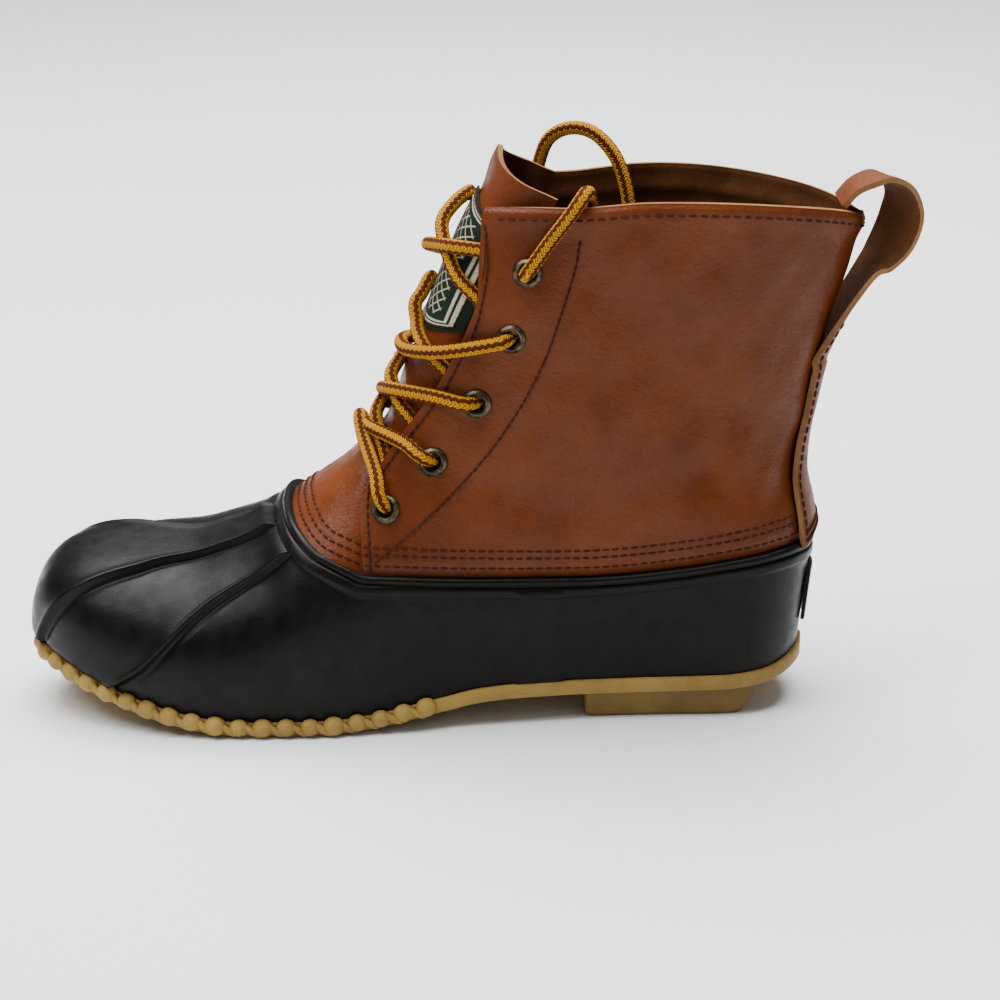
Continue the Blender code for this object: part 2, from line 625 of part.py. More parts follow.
def half_widths(x):
    """Lateral and medial y of the feather edge at world x."""
    width, middle = skin_section(x, feather_line(x))
    return middle - width, middle + width


def heel_block():
    """Gum heel under the band: flat on the floor, rounded up behind, with cross grooves."""
    steps = np.linspace(HEEL_BLOCK_FRONT, HEEL_BLOCK_BACK, 14)
    steps[-3] = HEEL_BLOCK_FLAT
    steps[-2] = 0.5 * (HEEL_BLOCK_FLAT + HEEL_BLOCK_BACK)
    sections = []
    for k, x in enumerate(steps):
        lateral, medial = half_widths(x)
        lateral, medial = lateral + HEEL_BLOCK_INSET, medial - HEEL_BLOCK_INSET
        top = feather_line(x) - BAND_THICKNESS - GAP
        curl = max(0.0, (x - HEEL_BLOCK_FLAT) / (HEEL_BLOCK_BACK - HEEL_BLOCK_FLAT))
        bottom = 0.8 * top * curl ** 2
        groove = HEEL_GROOVE if k in (2, 3, 9, 10) else 0.0
        sections.append(np.array([
            (x, lateral, top), (x, lateral, bottom), (x, lateral + SOLE_EDGE, bottom),
            (x, lateral + SOLE_EDGE, bottom + groove), (x, medial - SOLE_EDGE, bottom + groove),
            (x, medial - SOLE_EDGE, bottom), (x, medial, bottom), (x, medial, top)]))
        if groove == 0.0:
            sections[-1][3, 1] += HEEL_GROOVE
            sections[-1][4, 1] -= HEEL_GROOVE
    return ring_solid("heel_block", sections, HEEL_GUM_COLOR, 0.65, cap=True)


def insole():
    """Thin board lying in the rubber bottom."""
    sections = []
    for along in np.concatenate([np.linspace(0.045, 0.90, 22), (0.925, 0.945)]):
        x = float(station(along))
        lateral, medial = half_widths(x)
        inset = RUBBER + INSOLE_CLEARANCE
        low = feather_line(x) + INSOLE_LIFT
        high = low + INSOLE_THICKNESS
        sections.append(np.array([
            (x, lateral + inset, high), (x, lateral + inset, low),
            (x, medial - inset, low), (x, medial - inset, high)]))
    return ring_solid("insole", sections, INSOLE_COLOR, 0.8, cap=True)


def plate_solid(name, outer, inner, color, roughness):
    """A bent plate between two grids of points, rows by columns."""
    rows, columns = outer.shape[:2]
    points = np.concatenate([outer.reshape(-1, 3), inner.reshape(-1, 3)])
    count = rows * columns
    faces = strip_faces(rows, columns, False) + strip_faces(rows, columns, False, count, True)
    edge = ([(0, c) for c in range(columns - 1)] + [(r, columns - 1) for r in range(rows - 1)]
            + [(rows - 1, c) for c in range(columns - 1, 0, -1)] + [(r, 0) for r in range(rows - 1, 0, -1)])
    for (r0, c0), (r1, c1) in zip(edge, edge[1:] + edge[:1]):
        a, b = r0 * columns + c0, r1 * columns + c1
        faces.append((b, a, a + count, b + count))
    obj = mesh_object(name, points, faces, color, roughness)
    face_outwards(obj)
    return obj


def heel_plate():
    """Small plain plate on the back of the rubber heel."""
    y = np.linspace(-0.5, 0.5, 7) * PLATE_WIDTH
    z = PLATE_BOTTOM + np.linspace(0.0, 1.0, 4) * PLATE_HEIGHT
    grid_y, grid_z = np.meshgrid(y, z)
    rough = np.stack([back_line(grid_z), grid_y, grid_z], -1)
    points, normal = onto_skin(rough)
    inner = points + normal * GAP * 2
    return plate_solid("heel_plate", inner + normal * PLATE_THICKNESS, inner, RUBBER_COLOR, 0.4)


# Tongue, bottom to tip. centre_along, centre_up and edge_along, edge_up: shares of the outsole's
# length and of the collar's height; edge_out: share of BALL_WIDTH / 2
TONGUE = (
    (0.569, 0.528, 0.531, 0.426, 0.60), (0.548, 0.569, 0.510, 0.467, 0.62),
    (0.521, 0.650, 0.479, 0.543, 0.63), (0.497, 0.736, 0.445, 0.629, 0.62),
    (0.476, 0.822, 0.410, 0.721, 0.61), (0.452, 0.914, 0.379, 0.812, 0.60),
    (0.424, 1.000, 0.348, 0.904, 0.58), (0.397, 1.086, 0.310, 1.000, 0.52))
TONGUE_UNDER_VAMP = 0.0056
TONGUE_AT_EDGE = 0.0038
TONGUE_AT_CREST = 0.0048
TONGUE_COLUMNS = 13


def tongue_surface(run_shares, across_shares):
    """Tongue points and normals; run: 0 at the bottom to 1 at the tip, across: -1 to 1."""
    rows = np.linspace(0.0, 1.0, len(TONGUE))
    run, across = np.meshgrid(run_shares, across_shares, indexing="ij")
    part = [np.interp(run, rows, column(TONGUE, k)) for k in range(5)]
    reach_out = np.abs(across) ** 1.6
    rough = np.stack([station(part[0] + (part[2] - part[0]) * reach_out),
                      across * part[4] * BALL_WIDTH / 2,
                      (part[1] + (part[3] - part[1]) * reach_out) * COLLAR_HEIGHT], -1)
    skin, normal = onto_skin(rough)
    crest = 1.0 - smooth(np.abs(across), 0.25, 0.85)
    depth = TONGUE_AT_EDGE + (TONGUE_AT_CREST - TONGUE_AT_EDGE) * crest
    buried = 1.0 - smooth(run, 0.22, 0.46)
    depth = depth + (TONGUE_UNDER_VAMP - depth) * buried
    return skin - normal * depth[..., None], normal


def tongue():
    """Leather tongue lying in the throat, its edges tucked under the quarters."""
    outer, normal = tongue_surface(np.linspace(0.0, 1.0, 16), np.linspace(-1.0, 1.0, TONGUE_COLUMNS))
    return plate_solid("tongue", outer, outer - normal * TONGUE_THICKNESS, LEATHER_COLOR, 0.5)


def tongue_label():
    """Thin woven label on the tongue."""
    face, normal = tongue_surface(np.linspace(0.46, 0.90, 7), np.linspace(-0.56, 0.56, 9))
    inner = face + normal * (GAP + 0.0001)
    return plate_solid("tongue_label", inner + normal * LABEL_THICKNESS, inner, LABEL_COLOR, 0.8)


EYELET_SEGMENTS = 10
HOLE_SEGMENTS = 10
HOLE_REACH = 0.0055


def turned(centre, axis, profile, segments):
    """Points of a profile of (radius, height) pairs turned round an axis, loop by loop."""
    side = unit(np.cross(axis, np.array([0.0, 0.0, 1.0])))
    lift = np.cross(axis, side)
    angle = np.linspace(0.0, 2.0 * math.pi, segments, endpoint=False)
    round_about = np.cos(angle)[:, None] * side + np.sin(angle)[:, None] * lift
    return [centre + axis * height + round_about * radius for radius, height in profile]


def eyelet(name, centre, axis):
    """Brass eyelet: a flange on the leather and a barrel through its hole."""
    face = GAP + 0.0001
    top = face + EYELET_HEIGHT
    bottom = -LEATHER + GAP
    profile = ((EYELET_BORE, bottom), (EYELET_BORE, top - 0.0003), (EYELET_BORE + 0.0003, top),
               (EYELET_RADIUS - 0.0008, top), (EYELET_RADIUS, top - 0.0005), (EYELET_RADIUS, face),
               (EYELET_BARREL, face), (EYELET_BARREL, bottom))
    return ring_solid(name, turned(centre, axis, profile, EYELET_SEGMENTS), BRASS_COLOR, 0.4)


def eyelets(leather):
    """Ten eyelets, and their holes cut through the upper."""
    points, faces = [], []
    for side, label in ((-1, "lateral"), (1, "medial")):
        centres, axes = onto_skin(side_points(EYELETS, side, COLLAR_HEIGHT))
        for k, (centre, axis) in enumerate(zip(centres, axes)):
            eyelet(f"eyelet_{label}_{k + 1}", centre, axis)
            loops = turned(centre, axis, ((EYELET_HOLE, -HOLE_REACH), (EYELET_HOLE, HOLE_REACH)),
                           HOLE_SEGMENTS)
            start = len(points)
            points.extend(np.concatenate(loops))
            faces.extend(strip_faces(2, HOLE_SEGMENTS, True, start))
            faces.append(tuple(range(start + HOLE_SEGMENTS - 1, start - 1, -1)))
            faces.append(tuple(range(start + HOLE_SEGMENTS, start + 2 * HOLE_SEGMENTS)))
    cutter = mesh_object("eyelet_holes", points, faces, BRASS_COLOR, 0.5)
    face_outwards(cutter)
    hide(cutter)
    cut(leather, cutter, "DIFFERENCE")


def hide(cutter):
    cutter.hide_render = True
    cutter.display_type = "WIRE"


def cut(obj, tool, operation):
    modifier = obj.modifiers.new(tool.name, "BOOLEAN")
    modifier.operation = operation
    modifier.solver = "EXACT"
    modifier.object = tool


# Lace strands over the throat, as laid in the photo. Near and far ends: along, out, up as for the
# eyelets; crest_up: height where it rounds the tongue; lift: clear of the skin there, metres
STRANDS = (
    ("q", 1, (0.4144, 0.550, 0.907), 0.900, 0.0030, (0.4430, 0.470, 0.850)),
    ("p1", 1, (0.4300, 0.570, 0.830), 0.945, 0.0034, (0.4080, 0.380, 0.960)),
    ("a2", 2, (0.3866, 0.660, 0.755), 0.712, 0.0022, (0.4700, 0.470, 0.685)),
    ("p2", 2, (0.4624, 0.590, 0.690), 0.790, 0.0030, (0.4200, 0.560, 0.765)),
    ("a3", 3, (0.4280, 0.660, 0.631), 0.620, 0.0022, (0.5200, 0.430, 0.575)),
    ("p3", 3, (0.5070, 0.575, 0.592), 0.668, 0.0030, (0.4700, 0.560, 0.640)),
    ("a4", 4, (0.4814, 0.675, 0.521), 0.548, 0.0030, (0.5400, 0.420, 0.500)),
    ("p4", 4, (0.5480, 0.530, 0.512), 0.570, 0.0026, (0.5100, 0.560, 0.530)),
    ("a5", 4, (0.5424, 0.712, 0.429), 0.540, 0.0034, (0.5600, 0.430, 0.480)))
LACE_SIDES = 8
LACE_CLEAR = 0.0005
STRAND_POINTS = 12


def strand_line(near, crest_up, lift, far):
    """Middle line of a strand from the near side round the tongue's crest to the far side."""
    x = np.linspace(-0.35, 0.0, 1200)
    crest_x = float(np.interp(crest_up * COLLAR_HEIGHT, crest_line(x), x))
    ends = side_points((near,), -1, COLLAR_HEIGHT)[0], side_points((far,), 1, COLLAR_HEIGHT)[0]
    crest = np.array([crest_x, 0.0, crest_up * COLLAR_HEIGHT])
    points = [onto_skin(end[None])[0][0] for end in ends]
    rough = through([points[0], crest, points[1]], STRAND_POINTS)
    share = np.linspace(-1.0, 1.0, STRAND_POINTS)
    clear = LACE_DIAMETER / 2 + LACE_CLEAR
    over_eyelet = clear + EYELET_HEIGHT + 4 * GAP
    offset = clear + (lift - clear) * (1.0 - smooth(np.abs(share), 0.10, 0.75))
    near_eyelet = near[1] > 0.62
    if near_eyelet:
        offset = offset + (over_eyelet - clear) * (1.0 - smooth(share, -1.0, -0.55))
    return onto_skin(rough, offset)[0]


def tube_solid(name, line, radius, sides, color):
    """A round tube with flat ends along a line of points."""
    tangent = unit(np.gradient(line, axis=0))
    side = unit(np.cross(tangent[0], np.array([0.2, 0.1, 1.0])))
    loops = []
    angle = np.linspace(0.0, 2.0 * math.pi, sides, endpoint=False)
    for point, direction in zip(line, tangent):
        side = unit(side - direction * np.dot(side, direction))
        lift = np.cross(direction, side)
        loops.append(point + radius * (np.cos(angle)[:, None] * side + np.sin(angle)[:, None] * lift))
    return ring_solid(name, loops, color, 0.7, cap=True)


def lace_crossings():
    """Four knots of strands, each one solid."""
    joined = {}
    for name, crossing, near, crest_up, lift, far in STRANDS:
        line = strand_line(near, crest_up, lift, far)
        if crossing not in joined:
            joined[crossing] = tube_solid(f"lace_crossing_{crossing}", line, LACE_DIAMETER / 2,
                                          LACE_SIDES, LACE_COLOR)
        else:
            strand = tube_solid(f"strand_{name}", line, LACE_DIAMETER / 2, LACE_SIDES, LACE_COLOR)
            hide(strand)
            cut(joined[crossing], strand, "UNION")


# Free ends, from the top eyelets over the collar and down inside; along, out and up as for eyelets
END_LATERAL = (
    (0.3362, 0.741, 0.9391), (0.3131, 0.747, 0.9838), (0.2986, 0.718, 1.0132), (0.2903, 0.633, 1.0223),
    (0.2848, 0.551, 1.0025), (0.2786, 0.531, 0.9340), (0.2724, 0.510, 0.8528))
END_MEDIAL = (
    (0.3528, 0.747, 0.9188), (0.3466, 0.755, 0.9645), (0.3397, 0.739, 1.0152), (0.3286, 0.690, 1.0533),
    (0.3069, 0.633, 1.0741), (0.2828, 0.571, 1.0751), (0.2621, 0.494, 1.0589), (0.2431, 0.414, 1.0228),
    (0.2310, 0.351, 0.9645), (0.2262, 0.318, 0.8934), (0.2241, 0.298, 0.8223))
END_SEAT = 0.0018
END_BEND = 0.0048
CORD_STEP = 1.7


def cord(name, side, rows):
    """One free lace end as a bevelled curve, out of its top eyelet and along its table's rows."""
    centre, normal = onto_skin(side_points(EYELETS[:1], side, COLLAR_HEIGHT))
    route = np.concatenate([centre + normal * END_BEND, side_points(rows, side, COLLAR_HEIGHT)])
    span = np.sum(np.linalg.norm(np.diff(route, axis=0), axis=1))
    line = through(route, int(round(span / (CORD_STEP * LACE_DIAMETER))))
    line = np.concatenate([centre + normal * END_SEAT, line])
    curve = bpy.data.curves.new(name, "CURVE")
    curve.dimensions = "3D"
    curve.bevel_depth = LACE_DIAMETER / 2
    curve.bevel_resolution = 2
    curve.use_fill_caps = True
    spline = curve.splines.new("POLY")
    spline.points.add(len(line) - 1)
    for k, point in enumerate(line):
        spline.points[k].co = (*map(float, point), 1.0)
    material = bpy.data.materials.new(name + "_finish")
    material.use_nodes = True
    material.node_tree.nodes["Principled BSDF"].inputs["Base Color"].default_value = (*LACE_COLOR, 1.0)
    curve.materials.append(material)
    obj = bpy.data.objects.new(name, curve)
    bpy.context.scene.collection.objects.link(obj)
    return obj


# Back stay and loop, one strap. The stay lies on the boot's back; height: share of COLLAR_HEIGHT,
# half: share of STRAP_WIDTH, shift: metres towards the medial side
STAY = (
    (0.345, 0.66, -0.0055), (0.40, 0.62, -0.0045), (0.47, 0.56, -0.0030), (0.56, 0.50, -0.0010),
    (0.66, 0.50, 0.0), (0.78, 0.50, 0.0))
# Free loop, up and over to the inside: x and z of the strap's middle, metres, and twist in degrees
LOOP = (
    (0.0740, 0.1640, 4.0), (0.0815, 0.1700, 12.0), (0.0880, 0.1775, 18.0), (0.0905, 0.1860, 18.0),
    (0.0880, 0.1940, 12.0), (0.0820, 0.1985, 6.0), (0.0750, 0.1990, 0.0), (0.0680, 0.1960, 0.0),
    (0.0630, 0.1905, 0.0))
STRAP_LIFT = 0.0011
STAY_ROWS = 13
STRAP_COLUMNS = 7


def pull_loop():
    """Leather strap sewn up the back seam and looped over the collar."""
    across = np.linspace(-1.0, 1.0, STRAP_COLUMNS)
    outer, inner = [], []
    for height in np.linspace(STAY[0][0], STAY[-1][0], STAY_ROWS):
        z = height * COLLAR_HEIGHT
        half = np.interp(height, column(STAY, 0), column(STAY, 1))
        shift = np.interp(height, column(STAY, 0), column(STAY, 2))
        y = across * half * STRAP_WIDTH + shift
        rough = np.stack([np.full(STRAP_COLUMNS, float(back_line(z))), y,
                          np.full(STRAP_COLUMNS, z)], -1)
        skin, normal = onto_skin(rough)
        inner.append(skin + normal * STRAP_LIFT)
        outer.append(skin + normal * (STRAP_LIFT + STRAP_THICKNESS))
    route = np.array([(x, 0.0, z) for x, z, _ in LOOP])
    tangent = unit(np.gradient(route, axis=0))
    for point, direction, (_, _, twist) in zip(route, tangent, LOOP):
        angle = math.radians(twist)
        level = np.array([0.0, 1.0, 0.0])
        face = np.cross(level, direction)
        face = face if face[0] > 0 or len(inner) > STAY_ROWS + 3 else -face
        wide = level * math.cos(angle) + face * math.sin(angle)
        lift = np.cross(wide, direction)
        lift = lift * np.sign(np.dot(lift, outer[-1][STRAP_COLUMNS // 2] - inner[-1][STRAP_COLUMNS // 2]))
        middle = point + wide * 0.5 * STRAP_WIDTH * across[:, None]
        inner.append(middle - lift * STRAP_THICKNESS / 2)
        outer.append(middle + lift * STRAP_THICKNESS / 2)
    return plate_solid("pull_loop", np.array(outer), np.array(inner), STRAP_COLOR, 0.6)


outsole()
heel_block()
rubber_shell()
heel_plate()
insole()
eyelets(upper())
tongue()
tongue_label()
lace_crossings()
cord("lace_end_lateral", -1, END_LATERAL)
cord("lace_end_medial", 1, END_MEDIAL)
pull_loop()
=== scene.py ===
"""Looks of the left duck boot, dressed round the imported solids.

The toe points to -X, the lateral side to -Y and +Z is up, in metres. The form's tables repeat
those of the solids, so every piece of leather and rubber lies where its solid does.
"""
from __future__ import annotations

import logging
import math
from dataclasses import dataclass, field
from enum import Enum
from typing import Sequence

import bmesh
import bpy
import numpy as np
from mathutils import Matrix


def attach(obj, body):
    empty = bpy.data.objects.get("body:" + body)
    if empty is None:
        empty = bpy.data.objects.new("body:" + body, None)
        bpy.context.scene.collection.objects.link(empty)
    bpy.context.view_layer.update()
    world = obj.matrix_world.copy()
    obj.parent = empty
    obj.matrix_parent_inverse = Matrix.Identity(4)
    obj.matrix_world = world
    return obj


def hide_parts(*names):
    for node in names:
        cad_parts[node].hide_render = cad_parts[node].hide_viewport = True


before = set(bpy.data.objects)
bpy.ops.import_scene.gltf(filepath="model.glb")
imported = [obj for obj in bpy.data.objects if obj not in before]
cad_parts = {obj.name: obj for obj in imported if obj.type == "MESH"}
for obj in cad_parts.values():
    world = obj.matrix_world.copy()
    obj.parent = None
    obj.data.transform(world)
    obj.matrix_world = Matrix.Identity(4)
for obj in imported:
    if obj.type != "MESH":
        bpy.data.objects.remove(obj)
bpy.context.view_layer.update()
log = logging.getLogger("duck_boot")
Array = np.ndarray
Pair = tuple[float, float]
Triple = tuple[float, float, float]
Material = bpy.types.Material
Piece = bpy.types.Object
Socket = bpy.types.NodeSocket
UP = np.array([0.0, 0.0, 1.0])

# Driving sizes of the boot, as in the solids
OUTSOLE_LENGTH = 0.29
HEEL_SETBACK = 0.053
BALL_WIDTH = 0.098
HEEL_WIDTH = 0.067
TOE_HEIGHT = 0.0572
RIM_HEIGHT = 0.06
COLLAR_HEIGHT = 0.197
SHAFT_WIDTH = 0.0755
BACK_LEAN = 0.0225
TOE_SPRING = 0.018
BALL_FEATHER = 0.0056
ARCH_LIFT = 0.0102
LEATHER = 0.002
RUBBER = 0.0024
BAND_THICKNESS = 0.0056
LACE_DIAMETER = 0.0052
STRAP_WIDTH = 0.0215
STRAP_THICKNESS = 0.0022

# Top line of the side view.
# along: share of OUTSOLE_LENGTH from the heel's back; toe: share of TOE_HEIGHT;
# rise: share of the height between the toe and the collar
CREST = (
    (1.004, 0.38, 0.0), (1.001, 0.52, 0.0), (0.997, 0.64, 0.0), (0.991, 0.74, 0.0),
    (0.978, 0.85, 0.0), (0.955, 0.93, 0.0), (0.925, 0.97, 0.0), (0.887, 0.99, 0.0),
    (0.849, 1.0, 0.0), (0.798, 1.0, 0.006), (0.747, 1.0, 0.035), (0.704, 1.0, 0.072),
    (0.684, 1.0, 0.105), (0.665, 1.0, 0.152), (0.627, 1.0, 0.222), (0.59, 1.0, 0.29),
    (0.56, 1.0, 0.375), (0.546, 1.0, 0.45), (0.52, 1.0, 0.59), (0.485, 1.0, 0.78),
    (0.46, 1.0, 0.905), (0.436, 1.0, 1.005), (0.411, 1.0, 1.125), (0.375, 1.0, 1.31),
    (0.26, 1.0, 1.84), (-0.024, 1.0, 3.2))
# Back line. height: share of COLLAR_HEIGHT; lean: share of BACK_LEAN behind the heel's back
BACK = (
    (0.0, -0.11), (0.08, -0.08), (0.13, -0.04), (0.2, 0.02), (0.31, 0.1), (0.38, 0.02),
    (0.46, -0.12), (0.52, -0.09), (0.58, 0.01), (0.675, 0.19), (0.77, 0.4), (0.87, 0.67),
    (0.94, 0.845), (1.015, 1.02), (1.17, 1.4))
# Plan outline. lateral and medial: shares of BALL_WIDTH; heel: share of HEEL_WIDTH for both
PLAN = (
    (1.004, 0.343, 0.404, 0.0), (0.942, 0.389, 0.429, 0.0), (0.884, 0.424, 0.455, 0.0),
    (0.815, 0.47, 0.475, 0.0), (0.729, 0.498, 0.478, 0.0), (0.661, 0.498, 0.46, 0.0),
    (0.558, 0.465, 0.399, 0.0), (0.473, 0.3, 0.22, 0.18), (0.387, 0.13, 0.06, 0.375),
    (0.284, 0.03, 0.0, 0.47), (0.18, 0.0, 0.0, 0.5), (-0.024, 0.0, 0.0, 0.5))
# Shaft outline. height: share of COLLAR_HEIGHT; lateral and medial: shares of SHAFT_WIDTH
SHAFT = (
    (0.305, 0.505, 0.475), (0.51, 0.465, 0.45), (0.66, 0.465, 0.45), (0.81, 0.485, 0.465),
    (1.0, 0.51, 0.49), (1.17, 0.53, 0.5))
# Feather edge, where the rubber meets the gum. spring: share of TOE_SPRING; arch: of ARCH_LIFT
FEATHER = (
    (1.004, 1.0, 0.0), (0.969, 0.866, 0.0), (0.938, 0.7, 0.0), (0.901, 0.505, 0.0),
    (0.842, 0.26, 0.0), (0.801, 0.13, 0.0), (0.757, 0.035, 0.0), (0.712, 0.0, 0.0),
    (0.625, 0.0, 0.0), (0.572, 0.0, 0.115), (0.521, 0.0, 0.365), (0.473, 0.0, 0.635),
    (0.428, 0.0, 0.885), (0.38, 0.0, 0.98), (0.284, 0.0, 1.0), (0.113, 0.0, 1.07),
    (0.058, 0.0, 1.16), (0.024, 0.0, 1.36), (0.0, 0.0, 1.6), (-0.024, 0.0, 1.8))
# Rim of the rubber, back to front. out: share of BALL_WIDTH / 2; up: share of RIM_HEIGHT
RIM = (
    (-0.008, 0.0, 1.063), (0.003, 0.31, 1.08), (0.018, 0.45, 1.09), (0.038, 0.56, 1.087),
    (0.077, 0.67, 1.068), (0.14, 0.695, 1.02), (0.247, 0.7, 0.963), (0.334, 0.73, 0.96),
    (0.42, 0.786, 0.978), (0.4925, 0.83, 0.998), (0.564, 0.855, 1.022), (0.586, 0.838, 1.057),
    (0.618, 0.78, 1.125), (0.6335, 0.72, 1.167), (0.651, 0.578, 1.23), (0.6664, 0.31, 1.283),
    (0.673, 0.0, 1.29))
# Upper's top edge from the back seam: collar, throat edge, then the vamp's top under the lace.
# out: share of BALL_WIDTH / 2; up: share of COLLAR_HEIGHT
COLLAR = (
    (-0.065, 0.0, 0.947), (-0.0575, 0.12, 0.947), (-0.0065, 0.374, 0.97), (0.069, 0.578, 0.991),
    (0.143, 0.689, 1.003), (0.215, 0.711, 1.0055), (0.264, 0.685, 0.999), (0.3, 0.6545, 0.994),
    (0.3486, 0.578, 0.993), (0.398, 0.4, 0.986))
THROAT = (
    (0.398, 0.4, 0.986), (0.4024, 0.505, 0.9015), (0.4116, 0.545, 0.8315), (0.4264, 0.56, 0.768),
    (0.4647, 0.558, 0.654), (0.495, 0.535, 0.587), (0.525, 0.521, 0.524), (0.5548, 0.539, 0.4746),
    (0.569, 0.56, 0.452))
VAMP_TOP = ((0.569, 0.56, 0.452), (0.56, 0.38, 0.5), (0.55, 0.18, 0.545), (0.546, 0.0, 0.56))
# Eyelets, top to bottom, by the same columns
EYELETS = ((0.357, 0.626, 0.875), (0.378, 0.638, 0.752), (0.421, 0.64, 0.629), (0.475, 0.657, 0.519),
           (0.537, 0.693, 0.426))

# Tongue, bottom to tip. centre_along, centre_up and edge_along, edge_up: shares of the outsole's
# length and of the collar's height; edge_out: share of BALL_WIDTH / 2
TONGUE = (
    (0.569, 0.528, 0.531, 0.426, 0.6), (0.548, 0.569, 0.51, 0.467, 0.62),
    (0.521, 0.65, 0.479, 0.543, 0.63), (0.497, 0.736, 0.445, 0.629, 0.62),
    (0.476, 0.822, 0.41, 0.721, 0.61), (0.452, 0.914, 0.379, 0.812, 0.6),
    (0.424, 1.0, 0.348, 0.904, 0.58), (0.397, 1.086, 0.31, 1.0, 0.52))
# Free ends, from the top eyelets over the collar and down inside; along, out and up as for eyelets
END_LATERAL = (
    (0.3362, 0.741, 0.9391), (0.3131, 0.747, 0.9838), (0.2986, 0.718, 1.0132), (0.2903, 0.633, 1.0223),
    (0.2848, 0.551, 1.0025), (0.2786, 0.531, 0.934), (0.2724, 0.51, 0.8528))
END_MEDIAL = (
    (0.3528, 0.747, 0.9188), (0.3466, 0.755, 0.9645), (0.3397, 0.739, 1.0152), (0.3286, 0.69, 1.0533),
    (0.3069, 0.633, 1.0741), (0.2828, 0.571, 1.0751), (0.2621, 0.494, 1.0589), (0.2431, 0.414, 1.0228),
    (0.231, 0.351, 0.9645), (0.2262, 0.318, 0.8934), (0.2241, 0.298, 0.8223))
# Back stay and loop, one strap. The stay lies on the boot's back; height: share of COLLAR_HEIGHT,
# half: share of STRAP_WIDTH, shift: metres towards the medial side
STAY = (
    (0.345, 0.66, -0.0055), (0.4, 0.62, -0.0045), (0.47, 0.56, -0.003), (0.56, 0.5, -0.001),
    (0.66, 0.5, 0.0), (0.78, 0.5, 0.0))
# Free loop, up and over to the inside: x and z of the strap's middle, metres, and twist in degrees
LOOP = (
    (0.074, 0.164, 4.0), (0.0815, 0.17, 12.0), (0.088, 0.1775, 18.0), (0.0905, 0.186, 18.0),
    (0.088, 0.194, 12.0), (0.082, 0.1985, 6.0), (0.075, 0.199, 0.0), (0.068, 0.196, 0.0),
    (0.063, 0.1905, 0.0))
# Seam behind the eyelets, from the collar down, as world points of the lateral side in millimetres
EYESTAY_SEAM = (
    (-33.0, -33.0, 184.5), (-35.0, -33.4, 173.6), (-40.0, -33.3, 156.6), (-47.0, -32.9, 137.0),
    (-58.8, -33.3, 115.5), (-75.0, -34.7, 95.0), (-92.0, -37.6, 78.5), (-108.9, -41.0, 65.6))


class Side(Enum):
    """The two sides of the boot."""

    LATERAL = -1
    MEDIAL = 1


class Curve:
    """Cubic through a table's rows that keeps their rises and falls, straight past its ends."""

    def __init__(self, keys: Array, values: Array) -> None:
        """Fit the slopes at the keys.

        Args:
            keys: Where the values stand, in any order.
            values: The curve's value at each key.
        """
        order = np.argsort(keys)
        self.keys = np.array(keys, float)[order]
        self.values = np.array(values, float)[order]
        gap = np.diff(self.keys)
        slope = np.diff(self.values) / gap
        inner = np.zeros(len(slope) - 1)
        same = slope[:-1] * slope[1:] > 0
        before, after = slope[:-1][same], slope[1:][same]
        first, second = 2 * gap[1:] + gap[:-1], gap[1:] + 2 * gap[:-1]
        inner[same] = (first + second)[same] / (first[same] / before + second[same] / after)
        self.slopes = np.concatenate(([slope[0]], inner, [slope[-1]]))

    def __call__(self, query: Array) -> Array:
        """Value of the curve.

        Args:
            query: Where to read it.

        Returns:
            One value for each query.
        """
        query = np.asarray(query, float)
        i = np.clip(np.searchsorted(self.keys, query) - 1, 0, len(self.keys) - 2)
        gap = self.keys[i + 1] - self.keys[i]
        t = (query - self.keys[i]) / gap
        c = np.clip(t, 0.0, 1.0)
        rise0, rise1 = self.slopes[i] * gap, self.slopes[i + 1] * gap
        inside = ((2 * c**3 - 3 * c**2 + 1) * self.values[i] + (c**3 - 2 * c**2 + c) * rise0
                  + (3 * c**2 - 2 * c**3) * self.values[i + 1] + (c**3 - c**2) * rise1)
        return inside + np.minimum(t, 0.0) * rise0 + np.maximum(t - 1.0, 0.0) * rise1


def ease(value: Array, start: float, end: float) -> Array:
    """Ease from 0 at start to 1 at end."""
    t = np.clip((np.asarray(value, float) - start) / (end - start), 0.0, 1.0)
    return t * t * (3.0 - 2.0 * t)


def column(rows: Sequence, index: int) -> Array:
    """One column of a table."""
    return np.array([row[index] for row in rows], float)


def station(along: Array) -> Array:
    """World x of a share of the outsole's length, counted from the heel's back."""
    return HEEL_SETBACK - np.asarray(along, float) * OUTSOLE_LENGTH


def unit(vectors: Array) -> Array:
    """Vectors at length one."""
    return vectors / np.maximum(np.linalg.norm(vectors, axis=-1, keepdims=True), 1e-12)


